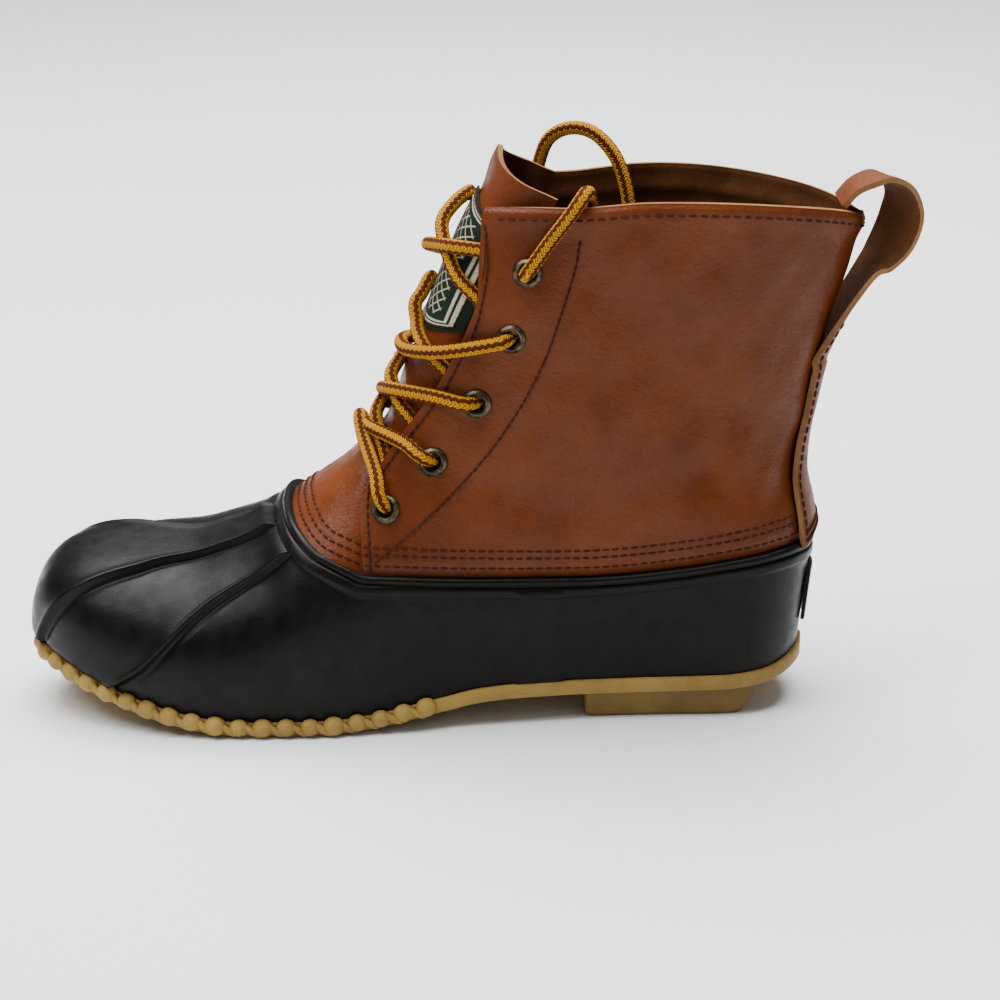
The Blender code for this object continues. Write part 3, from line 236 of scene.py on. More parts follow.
class BootForm:
    """The boot's outer form: where its skin lies and which way it faces."""

    WIDEST_SHARE = 0.2
    WIDEST_LIMIT = 0.1
    TOP_POWER = 2.7
    SHAFT_POWER = 2.5
    TOE_SIDE_POWER = 3.3
    TOE_ROUNDING = 0.07
    TOE_POWER = 2.5
    TOE_ROOT = 2.2
    HEEL_ROUNDING = 0.036
    SHAFT_ROUNDING = 0.081
    UPRIGHT = (0.25 * COLLAR_HEIGHT, 0.8 * COLLAR_HEIGHT)
    SHAFT_BLEND = (0.18 * COLLAR_HEIGHT, 0.61 * COLLAR_HEIGHT)
    TOE_TILT = 0.14
    BASE_TUCK = 0.05
    BISECTIONS = 24
    DEPTH = 0.16
    PROBE = 0.012

    def __init__(self) -> None:
        """Fit the form's curves to its tables."""
        rise = COLLAR_HEIGHT - TOE_HEIGHT
        self.crest = Curve(station(column(CREST, 0)),
                           column(CREST, 1) * TOE_HEIGHT + column(CREST, 2) * rise)
        self.back = Curve(column(BACK, 0) * COLLAR_HEIGHT, HEEL_SETBACK + column(BACK, 1) * BACK_LEAN)
        heel = column(PLAN, 3) * HEEL_WIDTH
        self.plan_lateral = Curve(station(column(PLAN, 0)), column(PLAN, 1) * BALL_WIDTH + heel)
        self.plan_medial = Curve(station(column(PLAN, 0)), column(PLAN, 2) * BALL_WIDTH + heel)
        self.shaft_lateral = Curve(column(SHAFT, 0) * COLLAR_HEIGHT, column(SHAFT, 1) * SHAFT_WIDTH)
        self.shaft_medial = Curve(column(SHAFT, 0) * COLLAR_HEIGHT, column(SHAFT, 2) * SHAFT_WIDTH)
        self.feather = Curve(station(column(FEATHER, 0)), BALL_FEATHER + column(FEATHER, 1) * TOE_SPRING
                             + column(FEATHER, 2) * ARCH_LIFT)
        self.toe_tip = float(station(1.0))
        self.tilt_start = float(station(0.56))
        self.tilt_full = float(station(0.74))

    def section(self, x: Array, z: Array) -> tuple[Array, Array]:
        """Half-width and middle of the form at side-view points.

        Args:
            x: World x.
            z: World z, with the forefoot's tilt taken out.

        Returns:
            The half-width, below 0 outside the form, and the y of its middle.
        """
        crest, feather = self.crest(x), self.feather(x)
        widest = feather + self.WIDEST_SHARE * np.clip(crest - feather, 0.0, self.WIDEST_LIMIT)
        height = np.maximum((z - widest) / np.maximum(crest - widest, 1e-6), 0.0)
        below = np.clip((widest - z) / np.maximum(widest - feather, 1e-6), 0.0, 1.5)
        top = 1.0 - height ** self.TOP_POWER
        front = 1.0 - np.clip(1.0 - (x - self.toe_tip) / self.TOE_ROUNDING, 0.0, 2.0) ** self.TOE_POWER
        up = ease(z, *self.UPRIGHT)
        rounding = self.HEEL_ROUNDING + (self.SHAFT_ROUNDING - self.HEEL_ROUNDING) * up
        rear = 1.0 - np.clip(1.0 - (self.back(z) - x) / rounding, 0.0, 2.0) ** (2.4 - 0.6 * up)
        shaft = ease(z, *self.SHAFT_BLEND)
        lateral = self.plan_lateral(x) * (1.0 - shaft) + self.shaft_lateral(z) * shaft
        medial = self.plan_medial(x) * (1.0 - shaft) + self.shaft_medial(z) * shaft
        half = 0.5 * (lateral + medial) * (1.0 - self.BASE_TUCK * below ** 2)
        forefoot = ease(-x, -self.tilt_start, -self.tilt_full)
        power = self.SHAFT_POWER + (self.TOE_SIDE_POWER - self.SHAFT_POWER) * forefoot
        inside = (top > 0) & (front > 0) & (rear > 0)
        width = (half * np.maximum(top, 0.0) ** (1.0 / power)
                 * np.maximum(front, 0.0) ** (1.0 / self.TOE_ROOT)
                 * np.maximum(rear, 0.0) ** (1.0 / (2.1 - 0.35 * up)))
        return np.where(inside, width, -1.0), 0.5 * (medial - lateral)

    def holds(self, points: Array) -> Array:
        """True where points lie inside the form."""
        x, y, z = points[..., 0], points[..., 1], points[..., 2]
        lean = self.TOE_TILT * ease(-x, -self.tilt_start, -self.tilt_full)
        crest, feather = self.crest(x), self.feather(x)
        share = np.clip((z - feather) / np.maximum(crest - feather, 1e-6), 0.0, 1.0)
        width, middle = self.section(x, z - lean * y * share)
        return np.abs(y - middle) < width

    def reach(self, anchors: Array, directions: Array) -> Array:
        """Points where rays from inside leave the skin.

        Args:
            anchors: Where the rays start, inside the form.
            directions: Their unit directions.

        Returns:
            One skin point for each ray.
        """
        low = np.zeros(anchors.shape[:-1])
        high = np.full(anchors.shape[:-1], self.DEPTH)
        for _ in range(self.BISECTIONS):
            middle = 0.5 * (low + high)
            hit = self.holds(anchors + directions * middle[..., None])
            low = np.where(hit, middle, low)
            high = np.where(hit, high, middle)
        return anchors + directions * low[..., None]

    def anchor(self, points: Array) -> Array:
        """A point deep inside the boot for each point near its skin, moving smoothly with it.

        Args:
            points: Points near the skin.

        Returns:
            Their anchors.
        """
        x, z = points[..., 0], points[..., 2]
        foot_x = np.clip(x, station(0.86), station(0.13))
        foot_z = self.feather(foot_x) + 0.3 * TOE_HEIGHT
        shaft_x = station(0.2) + 0.25 * (x - station(0.2))
        climb = ease(z, 0.3 * COLLAR_HEIGHT, 0.52 * COLLAR_HEIGHT)
        shaft_z = np.maximum(z - 0.004, foot_z)
        anchor_x = foot_x * (1.0 - climb) + shaft_x * climb
        anchor_z = foot_z * (1.0 - climb) + shaft_z * climb
        return np.stack([anchor_x, np.zeros_like(x), anchor_z], -1)

    def cast(self, points: Array) -> Array:
        """Points moved out or in onto the skin, along the ray from their anchors."""
        anchors = self.anchor(points)
        return self.reach(anchors, unit(points - anchors))

    def onto(self, points: Array, offset: Array | float = 0.0) -> tuple[Array, Array]:
        """Cast points onto the skin, and say which way it faces there.

        Args:
            points: Rough points near the skin.
            offset: How far to move each along the skin's normal.

        Returns:
            The moved points and the skin's normals.
        """
        anchors = self.anchor(points)
        aim = unit(points - anchors)
        side = unit(np.cross(aim, np.array([0.31, 0.11, 0.94])))
        lift = np.cross(aim, side)
        hits = [self.reach(anchors, unit(aim + self.PROBE * (side * a + lift * b)))
                for a, b in ((0, 0), (1, 0), (-1, 0), (0, 1), (0, -1))]
        normal = unit(np.cross(hits[1] - hits[2], hits[3] - hits[4]))
        normal *= np.sign(np.sum(normal * aim, axis=-1, keepdims=True))
        return hits[0] + normal * np.asarray(offset)[..., None], normal

    def grid_normals(self, grid: Array, closed: bool = False) -> Array:
        """Outward normals of a grid of skin points, from its own neighbours.

        Args:
            grid: Rows by columns of points.
            closed: True where the last column meets the first.

        Returns:
            A unit normal for each point.
        """
        if closed:
            padded = np.concatenate([grid[:, -1:], grid, grid[:, :1]], axis=1)
            along = np.gradient(padded, axis=1)[:, 1:-1]
        else:
            along = np.gradient(grid, axis=1)
        normal = unit(np.cross(along, np.gradient(grid, axis=0)))
        outward = np.sum(normal * (grid - self.anchor(grid)), axis=-1, keepdims=True)
        return normal * np.where(outward < 0, -1.0, 1.0)

    def feather_trail(self, side: Side) -> Array:
        """The feather edge of one side, back to toe tip, as points on the skin.

        Args:
            side: The side.

        Returns:
            The edge's points.
        """
        along = np.concatenate([np.linspace(0.0, 0.12, 28), np.linspace(0.125, 0.86, 90),
                                np.linspace(0.865, 1.0, 60)])
        x = station(along)
        z = self.feather(x)
        width, middle = self.section(np.clip(x, self.toe_tip + 1e-5, self.back(z) - 1e-5), z)
        y = middle + side.value * np.maximum(width, 0.0)
        x = np.minimum(x, self.back(z))
        y[0] = 0.0
        y[-1] = 0.5 * (self.plan_medial(self.toe_tip) - self.plan_lateral(self.toe_tip))
        return np.stack([x, y, z], -1)


FORM = BootForm()


def run_of(points: Array) -> Array:
    """Distance along a polyline at each of its points."""
    return np.concatenate(([0.0], np.cumsum(np.linalg.norm(np.diff(points, axis=0), axis=1))))


def read_at(where: Array, run: Array, points: Array) -> Array:
    """A polyline's points, or other values held at them, at distances along it."""
    return np.stack([np.interp(where, run, points[:, k]) for k in range(3)], -1)


def spaced(points: Array, shares: Array) -> Array:
    """Points at shares of a polyline's length."""
    run = run_of(points)
    return read_at(shares * run[-1], run, points)


def through(points: Sequence, count: int | Array) -> Array:
    """Points on a smooth curve through the given ones.

    Args:
        points: The points that the curve passes.
        count: How many to return, evenly spaced, or their shares of its length.

    Returns:
        The curve's points.
    """
    pts = np.asarray(points, float)
    ends = np.vstack([2 * pts[0] - pts[1], pts, 2 * pts[-1] - pts[-2]])
    dense = []
    for p0, p1, p2, p3 in zip(ends, ends[1:], ends[2:], ends[3:]):
        for t in np.linspace(0.0, 1.0, 16, endpoint=False):
            dense.append(0.5 * (2 * p1 + (p2 - p0) * t + (2 * p0 - 5 * p1 + 4 * p2 - p3) * t**2
                                + (3 * p1 - p0 - 3 * p2 + p3) * t**3))
    dense.append(pts[-1])
    shares = np.asarray(count, float) if np.ndim(count) else np.linspace(0.0, 1.0, int(count))
    return spaced(np.array(dense), shares)


def side_points(rows: Sequence, side: Side, height: float) -> Array:
    """Table rows (along, out, up) as world points on one side."""
    return np.stack([station(column(rows, 0)), side.value * column(rows, 1) * BALL_WIDTH / 2,
                     column(rows, 2) * height], -1)


def paths_between(starts: Array, ends: Array, samples: int = 26) -> Array:
    """Skin paths between pairs of points.

    Args:
        starts: Where the paths begin.
        ends: Where they end.
        samples: Points on each path.

    Returns:
        Paths by samples by 3.
    """
    t = np.linspace(0.0, 1.0, samples)[None, :, None]
    dense = FORM.cast(starts[:, None, :] * (1.0 - t) + ends[:, None, :] * t)
    dense[:, 0], dense[:, -1] = starts, ends
    return dense


def on_paths(paths: Array, distances: Array) -> Array:
    """Points, rows by paths, at the distances of each row along each path."""
    return np.stack([read_at(distances[:, c], run_of(path), path) for c, path in enumerate(paths)], axis=1)


def path_lengths(paths: Array) -> Array:
    """Length of each path."""
    return np.sum(np.linalg.norm(np.diff(paths, axis=1), axis=2), axis=1)


# Mesh making


def placed(name: str, data: bpy.types.ID) -> Piece:
    """A new object that holds the data, linked to the scene."""
    obj = bpy.data.objects.new(name, data)
    bpy.context.scene.collection.objects.link(obj)
    return obj


def removed(*objects: Piece) -> None:
    """Take helper objects out of the scene."""
    for obj in objects:
        bpy.data.objects.remove(obj, do_unlink=True)

def new_piece(name: str, points: Array, faces: Sequence, materials: Sequence[Material],
              slots: Sequence[int] | None = None, uvs: Array | None = None) -> Piece:
    """Make one smooth mesh piece that rides on the boot.

    Args:
        name: The piece's name.
        points: Its vertices.
        faces: Its faces, as tuples of vertex numbers.
        materials: Its finishes.
        slots: The finish number of each face.
        uvs: A UV pair for each vertex.

    Returns:
        The new object.
    """
    mesh = bpy.data.meshes.new(name)
    mesh.from_pydata(np.asarray(points).tolist(), [], faces)
    for material in materials:
        mesh.materials.append(material)
    if slots is not None:
        mesh.polygons.foreach_set("material_index", list(slots))
    if uvs is not None:
        layer = mesh.uv_layers.new(name="UVMap")
        loops = np.empty(len(mesh.loops), int)
        mesh.loops.foreach_get("vertex_index", loops)
        layer.data.foreach_set("uv", uvs[loops].ravel())
    mesh.update()
    mesh.shade_smooth()
    turn_outwards(mesh)
    return placed(name, mesh)


def turn_outwards(mesh: bpy.types.Mesh) -> None:
    """Turn a closed mesh's faces outwards, judged by the sign of its volume.

    Args:
        mesh: The mesh, which is changed in place.
    """
    mesh.calc_loop_triangles()
    corners = np.empty(len(mesh.vertices) * 3)
    mesh.vertices.foreach_get("co", corners)
    corners = corners.reshape(-1, 3)
    triangles = np.empty(len(mesh.loop_triangles) * 3, int)
    mesh.loop_triangles.foreach_get("vertices", triangles)
    a, b, c = (corners[triangles.reshape(-1, 3)[:, k]] for k in range(3))
    if np.sum(a * np.cross(b, c)) < 0:
        mesh.flip_normals()


def dress(obj: Piece, slot: str, *nodes: str) -> Piece:
    """Ride a piece on the boot and hide the solids that it stands for."""
    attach(obj, "root")
    if nodes:
        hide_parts(*nodes)
    log.info("%s: %d faces", obj.name, len(obj.data.polygons))
    return obj


def grid_faces(rows: int, columns: int, closed: bool = False, start: int = 0,
               flip: bool = False) -> list[tuple[int, ...]]:
    """Quads of a grid of points laid row by row.

    Args:
        rows: Number of rows.
        columns: Number of columns.
        closed: True where the last column meets the first.
        start: Number of the first point.
        flip: True to turn the faces round.

    Returns:
        The quads.
    """
    faces = []
    for r in range(rows - 1):
        for c in range(columns if closed else columns - 1):
            a = start + r * columns + c
            b = start + r * columns + (c + 1) % columns
            quad = (a, b, b + columns, a + columns)
            faces.append(quad[::-1] if flip else quad)
    return faces


def capped_faces(rows: int, columns: int, start: int = 0) -> list[tuple[int, ...]]:
    """Quads of a closed grid, with one face over its first row and one over its last."""
    end = start + (rows - 1) * columns
    return grid_faces(rows, columns, True, start) + [
        tuple(range(start + columns - 1, start - 1, -1)), tuple(range(end, end + columns))]


def walled_grid(name: str, outer: Array, inner: Array, materials: Sequence[Material],
                uvs: Array | None = None, closed: bool = False) -> Piece:
    """A wall between two grids of points, with its edges closed.

    Args:
        name: The piece's name.
        outer: Rows by columns by 3, the face that shows.
        inner: The same for the other face.
        materials: Finishes of the outer face, the inner face and the edge.
        uvs: Rows by columns by 2, used on both faces.
        closed: True where the last column meets the first.

    Returns:
        The new object.
    """
    rows, columns = outer.shape[:2]
    count = rows * columns
    faces = grid_faces(rows, columns, closed) + grid_faces(rows, columns, closed, count, True)
    slots = [0] * (len(faces) // 2) + [1] * (len(faces) // 2)
    if closed:
        rims = [[(r, c) for c in range(columns)] + [(r, 0)] for r in (0, rows - 1)]
        rims[1].reverse()
    else:
        rims = [[(0, c) for c in range(columns)] + [(r, columns - 1) for r in range(1, rows)]
                + [(rows - 1, c) for c in range(columns - 2, -1, -1)]
                + [(r, 0) for r in range(rows - 2, -1, -1)]]
    for rim in rims:
        for (r0, c0), (r1, c1) in zip(rim, rim[1:]):
            a, b = r0 * columns + c0, r1 * columns + c1
            faces.append((b, a, a + count, b + count))
            slots.append(2)
    points = np.concatenate([outer.reshape(-1, 3), inner.reshape(-1, 3)])
    pairs = None if uvs is None else np.concatenate([uvs.reshape(-1, 2)] * 2)
    return new_piece(name, points, faces, materials, slots, pairs)


# Domed end of a cord. bulge: past its end, as a share of its radius; share: of its radius
DOME = ((0.25, 0.9), (0.45, 0.6), (0.52, 0.25))


def tube(name: str, line: Array, radius: float | Array, material: Material,
         sides: int = 20) -> Piece:
    """A round cord along a line, with domed ends and a UV map round and along it in metres.

    Args:
        name: The piece's name.
        line: Its middle line.
        radius: Its radius, or one for each point.
        material: Its finish.
        sides: Faces round it.

    Returns:
        The new object.
    """
    tangent = unit(np.gradient(line, axis=0))
    side = unit(np.cross(tangent[0], np.array([0.2, 0.1, 1.0])))
    angle = np.linspace(0.0, 2.0 * math.pi, sides + 1)
    run = run_of(line)
    radii = np.broadcast_to(radius, len(line))
    loops, pairs = [], []
    for point, direction, distance, wide in zip(line, tangent, run, radii):
        side = unit(side - direction * np.dot(side, direction))
        lift = np.cross(direction, side)
        ring = point + wide * (np.cos(angle)[:, None] * side + np.sin(angle)[:, None] * lift)
        loops.append(ring)
        pairs.append(np.stack([angle / (2.0 * math.pi), np.full(sides + 1, distance)], -1))
    for end, step in ((0, -1.0), (-1, 1.0)):
        ring, pair = loops[end], pairs[end]
        for bulge, share in DOME:
            capped = line[end] + tangent[end] * step * radii[end] * bulge + (ring - line[end]) * share
            loops.insert(0 if end == 0 else len(loops), capped)
            pairs.insert(0 if end == 0 else len(pairs), pair)
    points = np.array(loops)[:, :-1].reshape(-1, 3)
    obj = new_piece(name, points, capped_faces(len(loops), sides), [material])
    seam_uvs(obj.data, np.array(pairs), sides)
    return obj


def seam_uvs(mesh: bpy.types.Mesh, pairs: Array, sides: int) -> None:
    """Write a tube's UVs by face corner, so its seam doesn't run backwards.

    Args:
        mesh: The tube's mesh.
        pairs: UV pairs, ring by ring, with the first repeated at each ring's end.
        sides: Faces round the tube.
    """
    layer = mesh.uv_layers.new(name="UVMap")
    values = np.empty((len(mesh.loops), 2))
    for polygon in mesh.polygons:
        corners = [mesh.loops[k].vertex_index for k in polygon.loop_indices]
        around = [corner % sides for corner in corners]
        wraps = max(around) == sides - 1 and min(around) == 0 and len(corners) == 4
        for k, corner in zip(polygon.loop_indices, corners):
            turn = corner % sides
            turn = sides if wraps and turn == 0 else turn
            values[k] = pairs[corner // sides, turn]
    layer.data.foreach_set("uv", values.ravel())


class Scatter:
    """Geometry Nodes tree that lays a unit shape on oriented points."""

    SOCKETS = (("Shape", "Object"), ("Finish", "Material"), ("Size", "Float"), ("Jitter", "Float"),
               ("Seed", "Int"))

    def __init__(self, name: str, seed: int, jitter: float) -> None:
        """Build the tree.

        Args:
            name: The tree's name.
            seed: Seed of the random sizes.
            jitter: How far sizes differ, as a share.
        """
        self.seed = seed
        self.jitter = jitter
        self.tree = bpy.data.node_groups.new(name, "GeometryNodeTree")
        face = self.tree.interface
        face.new_socket("Points", in_out="INPUT", socket_type="NodeSocketGeometry")
        self.sockets = {label: face.new_socket(label, in_out="INPUT", socket_type="NodeSocket" + kind)
                        for label, kind in self.SOCKETS}
        face.new_socket("Pieces", in_out="OUTPUT", socket_type="NodeSocketGeometry")
        self._wire()

    def _node(self, kind: str, **options: str) -> bpy.types.Node:
        """Add a node with the given options."""
        node = self.tree.nodes.new(kind)
        for option, value in options.items():
            setattr(node, option, value)
        return node

    def _wire(self) -> None:
        """Add and link the tree's nodes."""
        given, result = self._node("NodeGroupInput"), self._node("NodeGroupOutput")
        shape = self._node("GeometryNodeObjectInfo")
        ways = [self._node("GeometryNodeInputNamedAttribute", data_type="FLOAT_VECTOR") for _ in range(2)]
        for way, attribute in zip(ways, ("outward", "forward")):
            way.inputs["Name"].default_value = attribute
        turn = self._node("FunctionNodeAxesToRotation", primary_axis="Z", secondary_axis="X")
        spread = self._node("FunctionNodeRandomValue", data_type="FLOAT")
        least = self._node("ShaderNodeMath", operation="SUBTRACT")
        most = self._node("ShaderNodeMath", operation="ADD")
        for bound in (least, most):
            bound.inputs[0].default_value = 1.0
        sized = self._node("ShaderNodeMath", operation="MULTIPLY")
        points = self._node("GeometryNodeMeshToPoints")
        laid = self._node("GeometryNodeInstanceOnPoints")
        real = self._node("GeometryNodeRealizeInstances")
        finished = self._node("GeometryNodeSetMaterial")
        bounds = [socket for socket in spread.inputs if socket.type == "VALUE"]
        drawn = next(socket for socket in spread.outputs if socket.type == "VALUE")
        for source, target in (
                (given.outputs["Points"], points.inputs["Mesh"]),
                (given.outputs["Shape"], shape.inputs["Object"]),
                (given.outputs["Jitter"], least.inputs[1]),
                (given.outputs["Jitter"], most.inputs[1]),
                (least.outputs[0], bounds[0]),
                (most.outputs[0], bounds[1]),
                (given.outputs["Seed"], spread.inputs["Seed"]),
                (drawn, sized.inputs[0]),
                (given.outputs["Size"], sized.inputs[1]),
                (ways[0].outputs["Attribute"], turn.inputs["Primary Axis"]),
                (ways[1].outputs["Attribute"], turn.inputs["Secondary Axis"]),
                (points.outputs["Points"], laid.inputs["Points"]),
                (shape.outputs["Geometry"], laid.inputs["Instance"]),
                (turn.outputs["Rotation"], laid.inputs["Rotation"]),
                (sized.outputs[0], laid.inputs["Scale"]),
                (laid.outputs["Instances"], real.inputs["Geometry"]),
                (real.outputs["Geometry"], finished.inputs["Geometry"]),
                (given.outputs["Finish"], finished.inputs["Material"]),
                (finished.outputs["Geometry"], result.inputs["Pieces"])):
            self.tree.links.new(source, target)

    def lay(self, name: str, places: Array, outward: Array, forward: Array,
            shape: Piece, finish: Material) -> Piece:
        """Lay the shape on points and return the result as one plain mesh piece.

        Args:
            name: The new piece's name.
            places: Where each copy goes.
            outward: The direction of each copy's Z.
            forward: The direction of each copy's X.
            shape: The unit shape, which is removed.
            finish: The material of the copies.

        Returns:
            The new object.
        """
        seeds = bpy.data.meshes.new(name + "_points")
        seeds.from_pydata(np.asarray(places).tolist(), [], [])
        for attribute, values in (("outward", outward), ("forward", forward)):
            layer = seeds.attributes.new(attribute, "FLOAT_VECTOR", "POINT")
            layer.data.foreach_set("vector", np.asarray(values, float).ravel())
        holder = placed(name + "_points", seeds)
        modifier = holder.modifiers.new("scatter", "NODES")
        modifier.node_group = self.tree
        for label, value in (("Shape", shape), ("Finish", finish), ("Size", 1.0),
                             ("Jitter", self.jitter), ("Seed", self.seed)):
            modifier[self.sockets[label].identifier] = value
        depsgraph = bpy.context.evaluated_depsgraph_get()
        mesh = bpy.data.meshes.new_from_object(holder.evaluated_get(depsgraph))
        holder.modifiers.remove(modifier)
        removed(holder, shape)
        mesh.name = name
        mesh.materials.clear()
        mesh.materials.append(finish)
        mesh.shade_smooth()
        return placed(name, mesh)


def shape_object(name: str, points: Array, faces: Sequence) -> Piece:
    """A unit shape to scatter or cut with, removed after use."""
    mesh = bpy.data.meshes.new(name)
    mesh.from_pydata(np.asarray(points).tolist(), [], faces)
    mesh.update()
    turn_outwards(mesh)
    return placed(name, mesh)


def ellipsoid(radii: Sequence[float], around: int, rows: int) -> tuple[Array, list[tuple[int, ...]]]:
    """Points and faces of a closed ellipsoid with its poles on X.

    Args:
        radii: Its three radii.
        around: Faces round it.
        rows: Rows from pole to pole.

    Returns:
        Its points and faces.
    """
    polar = np.linspace(0.0, math.pi, rows + 1)[1:-1]
    angle = np.linspace(0.0, 2.0 * math.pi, around, endpoint=False)
    body = np.array([(math.cos(p), math.sin(p) * math.cos(a), math.sin(p) * math.sin(a))
                     for p in polar for a in angle])
    points = np.concatenate([body, [(1.0, 0.0, 0.0), (-1.0, 0.0, 0.0)]]) * np.asarray(radii)
    faces = grid_faces(rows - 1, around, True)
    top, bottom = len(body), len(body) + 1
    last = (rows - 2) * around
    for c in range(around):
        n = (c + 1) % around
        faces.append((n, c, top))
        faces.append((last + c, last + n, bottom))
    return points, faces


# Finishes


class Paint:
    """One material's node tree, with short ways to add the nodes that the finishes share."""

    def __init__(self, name: str, roughness: float) -> None:
        """Start the material.

        Args:
            name: Its name.
            roughness: Its shader's roughness.
        """
        self.material = bpy.data.materials.new(name)
        self.material.use_nodes = True
        self.nodes = self.material.node_tree.nodes
        self.links = self.material.node_tree.links
        self.shader = self.nodes["Principled BSDF"]
        self.shader.inputs["Roughness"].default_value = roughness
        self.place = self.nodes.new("ShaderNodeTexCoord")

    def _node(self, kind: str, **values: object) -> bpy.types.Node:
        """Add a node and set the inputs named."""
        node = self.nodes.new(kind)
        for label, value in values.items():
            node.inputs[label].default_value = value
        return node

    def noise(self, scale: float, detail: float = 3.0, roughness: float = 0.5,
              stretch: Triple = (1.0, 1.0, 1.0)) -> Socket:
        """Noise from 0 to 1.

        Args:
            scale: Features to a metre.
            detail: Octaves.
            roughness: Weight of the finer octaves.
            stretch: Scale on each axis.

        Returns:
            The noise's socket.
        """
        mapping = self._node("ShaderNodeMapping", Scale=stretch)
        self.links.new(self.place.outputs["Object"], mapping.inputs["Vector"])
        node = self._node("ShaderNodeTexNoise", Scale=scale, Detail=detail, Roughness=roughness)
        self.links.new(mapping.outputs["Vector"], node.inputs["Vector"])
        return node.outputs["Fac"]

    def cells(self, scale: float) -> Socket:
        """Distance from the middle of the nearest cell."""
        node = self._node("ShaderNodeTexVoronoi", Scale=scale)
        self.links.new(self.place.outputs["Object"], node.inputs["Vector"])
        return node.outputs["Distance"]

    def math(self, operation: str, a: object, b: object = 0.0) -> Socket:
        """One sum; a and b are numbers or sockets.

        Args:
            operation: What is done.
            a: The first number.
            b: The second number.

        Returns:
            The result's socket.
        """
        node = self.nodes.new("ShaderNodeMath")
        node.operation = operation
        for slot, value in enumerate((a, b)):
            if isinstance(value, Socket):
                self.links.new(value, node.inputs[slot])
            else:
                node.inputs[slot].default_value = value
        return node.outputs[0]

    def spread(self, value: Socket, low: float, high: float, start: float = 0.0,
               end: float = 1.0) -> Socket:
        """Map low to start and high to end, held past them.

        Args:
            value: What is mapped.
            low: Value that gives start.
            high: Value that gives end.
            start: Result at low.
            end: Result at high.

        Returns:
            The mapped socket.
        """
        node = self.nodes.new("ShaderNodeMapRange")
        node.interpolation_type = "SMOOTHSTEP"
        for label, number in (("From Min", low), ("From Max", high), ("To Min", start), ("To Max", end)):
            node.inputs[label].default_value = number
        self.links.new(value, node.inputs["Value"])
        return node.outputs["Result"]

    def blend(self, factor: Socket, a: object, b: object) -> Socket:
        """Mix two colours, given as sockets or linear triples, by a factor.

        Args:
            factor: Share of the second colour.
            a: The first colour.
            b: The second colour.

        Returns:
            The mixed colour's socket.
        """
        node = self.nodes.new("ShaderNodeMix")
        node.data_type = "RGBA"
        self.links.new(factor, node.inputs["Factor"])
        colours = [socket for socket in node.inputs if socket.type == "RGBA"]
        for socket, value in zip(colours, (a, b)):
            if isinstance(value, Socket):
                self.links.new(value, socket)
            else:
                socket.default_value = (*value, 1.0)
        return next(socket for socket in node.outputs if socket.type == "RGBA")

    def zigzag(self, value: Socket) -> Socket:
        """How far a number lies from the middle between its whole neighbours, 0 to a half."""
        return self.from_half(self.math("FRACT", value))

    def from_half(self, value: Socket) -> Socket:
        """How far a number lies from one half."""
        return self.math("ABSOLUTE", self.math("SUBTRACT", value, 0.5))

    def uv(self) -> tuple[Socket, Socket]:
        """The two numbers of the piece's UV map."""
        node = self._node("ShaderNodeSeparateXYZ")
        self.links.new(self.place.outputs["UV"], node.inputs["Vector"])
        return node.outputs["X"], node.outputs["Y"]

    def colour(self, socket: Socket) -> None:
        """Use a socket as the base colour."""
        self.links.new(socket, self.shader.inputs["Base Color"])

    def uneven(self, scale: float, detail: float, low: float, high: float) -> None:
        """Vary the roughness from low to high in clouds of the given scale and detail."""
        clouds = self.spread(self.noise(scale, detail, 0.6), 0.3, 0.7, low, high)
        self.links.new(clouds, self.shader.inputs["Roughness"])

    def specular(self, level: float) -> None:
        """Set how strongly the surface mirrors."""
        self.shader.inputs["Specular IOR Level"].default_value = level

    def bump(self, height: Socket, distance: float, strength: float = 1.0) -> None:
        """Add a bump over any that are there.

        Args:
            height: The relief from 0 to 1.
            distance: Its depth in metres.
            strength: How much of it shows.
        """
        node = self._node("ShaderNodeBump", Strength=strength, Distance=distance)
        self.links.new(height, node.inputs["Height"])
        normal = self.shader.inputs["Normal"]
        if normal.is_linked:
            self.links.new(normal.links[0].from_socket, node.inputs["Normal"])
        self.links.new(node.outputs["Normal"], normal)

    def coat(self, weight: float, roughness: float) -> None:
        """Lay a clear coat over the finish."""
        self.shader.inputs["Coat Weight"].default_value = weight
        self.shader.inputs["Coat Roughness"].default_value = roughness


@dataclass(frozen=True)
class LeatherFinish:
    """Waxed full-grain leather with pulled-up colour and fine pebble."""

    name: str = "brown_leather"
    middle: Triple = (0.092, 0.018, 0.0024)
    light: Triple = (0.126, 0.029, 0.005)
    dark: Triple = (0.038, 0.007, 0.0012)
    roughness: float = 0.4
    grain: float = 0.00016

    def make(self) -> Material:
        """Build the material."""
        paint = Paint(self.name, self.roughness)
        clouds = paint.spread(paint.noise(26.0, 4.0, 0.55), 0.32, 0.68)
        patches = paint.spread(paint.noise(70.0, 5.0, 0.6), 0.4, 0.72)
        tone = paint.blend(clouds, self.middle, self.light)
        tone = paint.blend(paint.math("MULTIPLY", patches, 0.16), tone, self.dark)
        specks = paint.spread(paint.noise(520.0, 2.0, 0.6), 0.6, 0.78)
        tone = paint.blend(paint.math("MULTIPLY", specks, 0.3), tone, self.dark)
        paint.colour(tone)
        paint.uneven(120.0, 4.0, self.roughness - 0.08, self.roughness + 0.12)
        paint.bump(paint.noise(95.0, 4.0, 0.55), 0.0007, 0.5)
        paint.bump(paint.cells(820.0), self.grain, 0.7)
        paint.bump(paint.spread(paint.noise(240.0, 5.0, 0.65), 0.42, 0.58), 0.00012, 0.6)
        paint.coat(0.03, 0.26)
        paint.specular(0.14)
        return paint.material


